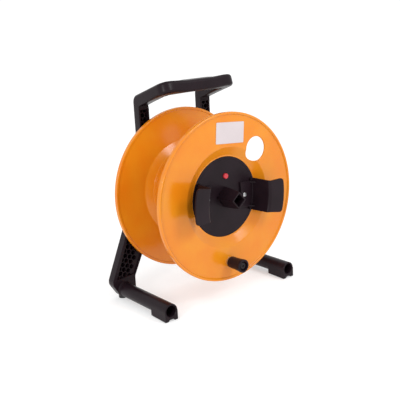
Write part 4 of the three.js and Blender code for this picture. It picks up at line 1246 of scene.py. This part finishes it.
socket = square_tube("centre_socket_tube", SOCKET_TIP, SOCKET_BASE, socket_tip_y, socket_base_y)
soften(socket, lambda point: True, 0.0009, 3, math.radians(50))
closed(socket)
hollow_back = socket_tip_y + 0.0275
hollow_side = SOCKET_TIP - 2 * SOCKET_WALL
hollow = square_tube("socket_hollow", hollow_side, hollow_side * 1.1, socket_tip_y - 0.001, hollow_back)
soften(hollow, lambda point: True, 0.0008, 2, math.radians(50))
closed(hollow)
mouth = square_tube(
    "socket_mouth", hollow_side + 0.0024, hollow_side, socket_tip_y - 0.0004, socket_tip_y + 0.0009
)
closed(mouth)
welded(socket, hollow, mouth, operation="DIFFERENCE")
axle_room_profile = [(AXLE_ROOM_R, hollow_back + 0.002), (AXLE_ROOM_R, socket_base_y + 0.001)]
drilled(socket, axle_room_profile, AXLE_X, AXLE_Z, 48)
post_profile = [
    (0.0034, hollow_back + 0.001),
    (0.0032, hollow_back - 0.009, 0.0005),
    (0.0016, hollow_back - 0.009, 0.0003),
    (0.0016, hollow_back + 0.0005),
]
welded(socket, closed(turned("socket_post", post_profile, AXLE_X, AXLE_Z, 32)))
for height in (-0.0145, 0.0145):
    peg_profile = [(0.0016, socket_base_y - 0.001), (0.0016, disc_back, 0.0003)]
    peg = turned("socket_peg", peg_profile, AXLE_X, AXLE_Z + height, 24)
    welded(socket, closed(peg))
fitted(shaded(swung(socket)), "drum", "black_plastic", black_moulding, "centre_socket")

# ---- Lock button -------------------------------------------------------------------------------
# A red plastic button in the disc's hole. It slides back against a spring, and pushes a rod towards
# the holes of the lock ring on the frame.

red_moulding = moulding(
    "red_moulding",
    deep=(0.44, 0.018, 0.03),
    light=(0.58, 0.035, 0.05),
    roughness=0.25,
    grain=0.0006,
    grain_depth=0.000006,
    peel_depth=0.00004,
)
button_low, button_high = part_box("lock_button")
button_profile = [
    (0.0022, button_low.y + 0.0005),
    (0.0034, button_low.y, 0.0004),
    (BUTTON_R, button_low.y + 0.0001, 0.0009),
    (BUTTON_R, button_high.y - 0.0016),
    (BUTTON_R + 0.001, button_high.y - 0.0016, 0.0002),
    (BUTTON_R + 0.001, button_high.y, 0.0002),
    (0.0025, button_high.y),
    (0.0025, disc_front),
]
lock_button = closed(turned("red_lock_button", button_profile, button_at.x, button_at.z, 64))
fitted(shaded(lock_button), "lock", "red_plastic", red_moulding, "lock_button")

# ---- Crank knob --------------------------------------------------------------------------------
# A black plastic knob that turns on a steel spindle bolted through the front flange. A screw in the
# recess of its end face keeps it on.

knob_low, knob_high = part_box("crank_knob")
KNOB_BASE_R = 0.0098
KNOB_TIP_R = 0.0116
KNOB_BORE_R = 0.00435
recess_floor = knob_low.y + 0.005


def knob_radius(y):
    """The knob's taper, with a slight waist under the fingers."""
    along = (y - knob_low.y) / (knob_high.y - knob_low.y)
    return KNOB_TIP_R + (KNOB_BASE_R - KNOB_TIP_R) * along - 0.0005 * math.sin(math.pi * along) ** 2


waist = [knob_low.y + (knob_high.y - knob_low.y) * share / 8 for share in range(1, 8)]
knob_profile = [
    (0.0081, recess_floor),
    (0.0084, knob_low.y, 0.0006),
    (knob_radius(knob_low.y), knob_low.y, 0.0016),
    *[(knob_radius(y), y) for y in waist],
    (knob_radius(knob_high.y), knob_high.y, 0.0012),
    (KNOB_BORE_R, knob_high.y, 0.0004),
    (KNOB_BORE_R, recess_floor),
]
black_steel = plated_steel("black_steel", (0.035, 0.031, 0.033), 0.38)
crank_knob = closed(turned("crank_knob_grip", knob_profile, knob_at.x, knob_at.z, 72, ring=True))
fitted(shaded(crank_knob), "crank", "black_plastic", black_moulding, "crank_knob")
knob_cap = capped_screw(
    "knob_screw_cap",
    "knob_screw",
    head_radius=0.006,
    head_height=0.0024,
    shank_radius=0.0018,
    key_radius=0.0019,
)
fitted(knob_cap, "drum", "black_steel", black_steel, "knob_screw")

# ---- Studio ------------------------------------------------------------------------------------
# A plain pale floor under an even white backdrop, with two large soft lamps. The camera stands in
# front of the reel, to its left and a little above its middle.

FLOOR_SIZE = 12
FLOOR_DROP = 0.0005
FLOOR_GLOW = 0.45
BACKDROP_STRENGTH = 1.06
bpy.ops.mesh.primitive_plane_add(size=FLOOR_SIZE, location=(0, 0, -FLOOR_DROP))
floor = bpy.context.active_object
floor.name = "studio_floor"
floor_paint = bpy.data.materials.new("floor_paint")
floor_paint.use_nodes = True
floor_paint.node_tree.nodes.clear()
wire = Wire(floor_paint.node_tree)
where = wire.node("ShaderNodeTexCoord", out=3)
paint = wire.node(
    "ShaderNodeBsdfPrincipled",
    sockets={
        "Base Color": wire.blend(wire.noise(where, 0.9, 2.0), (0.59, 0.59, 0.59, 1), (0.62, 0.62, 0.62, 1)),
        "Roughness": 0.8,
        "Specular IOR Level": 0.0,
        "Emission Color": (1.0, 1.0, 1.0, 1.0),
        "Emission Strength": FLOOR_GLOW,
    },
)
wire.node("ShaderNodeOutputMaterial", sockets={"Surface": paint})
dressed(floor, floor_paint)

studio = bpy.data.worlds.new("studio")
studio.use_nodes = True
backdrop = studio.node_tree.nodes["Background"]
backdrop.inputs["Color"].default_value = (1.0, 1.0, 1.0, 1.0)
backdrop.inputs["Strength"].default_value = BACKDROP_STRENGTH
bpy.context.scene.world = studio
bpy.context.scene.view_settings.view_transform = "Standard"

DRUM_MIDDLE = Vector((AXLE_X, DRUM_MIDDLE_Y, AXLE_Z))


def softbox(name, direction, distance, size, power):
    """A square lamp that looks at the reel's middle from a direction."""
    away = Vector(direction).normalized()
    bpy.ops.object.light_add(type="AREA", location=DRUM_MIDDLE + away * distance)
    lamp = bpy.context.active_object
    lamp.name = name
    lamp.data.size = size
    lamp.data.energy = power
    lamp.rotation_euler = away.to_track_quat("Z", "Y").to_euler()


softbox("key_light", (0.35, -1.0, 0.75), distance=1.6, size=0.45, power=7.5)
softbox("left_light", (-1.0, -0.45, 0.35), distance=1.8, size=0.28, power=8)

VIEW_AZIMUTH = math.radians(-37.98)
VIEW_HEIGHT = math.radians(14.77)
VIEW_ROLL = math.radians(-3.06)
VIEW_DISTANCE = 1.217
AIM_RIGHT = 0.00832
AIM_UP = 0.01422
SENSOR_WIDTH = 36
LENS = 63.18
toward = Vector(
    (
        math.sin(VIEW_AZIMUTH) * math.cos(VIEW_HEIGHT),
        -math.cos(VIEW_AZIMUTH) * math.cos(VIEW_HEIGHT),
        math.sin(VIEW_HEIGHT),
    )
)
level = Vector((math.cos(VIEW_AZIMUTH), math.sin(VIEW_AZIMUTH), 0))
upward = toward.cross(level)
right = level * math.cos(VIEW_ROLL) + upward * math.sin(VIEW_ROLL)
upward = upward * math.cos(VIEW_ROLL) - level * math.sin(VIEW_ROLL)
aim = DRUM_MIDDLE - right * AIM_RIGHT - upward * AIM_UP
bpy.ops.object.camera_add()
camera = bpy.context.active_object
camera.name = "camera"
camera.data.sensor_width = SENSOR_WIDTH
camera.data.lens = LENS
turn = Matrix((right, upward, toward)).transposed().to_4x4()
camera.matrix_world = Matrix.Translation(aim + toward * VIEW_DISTANCE) @ turn
bpy.context.scene.camera = camera
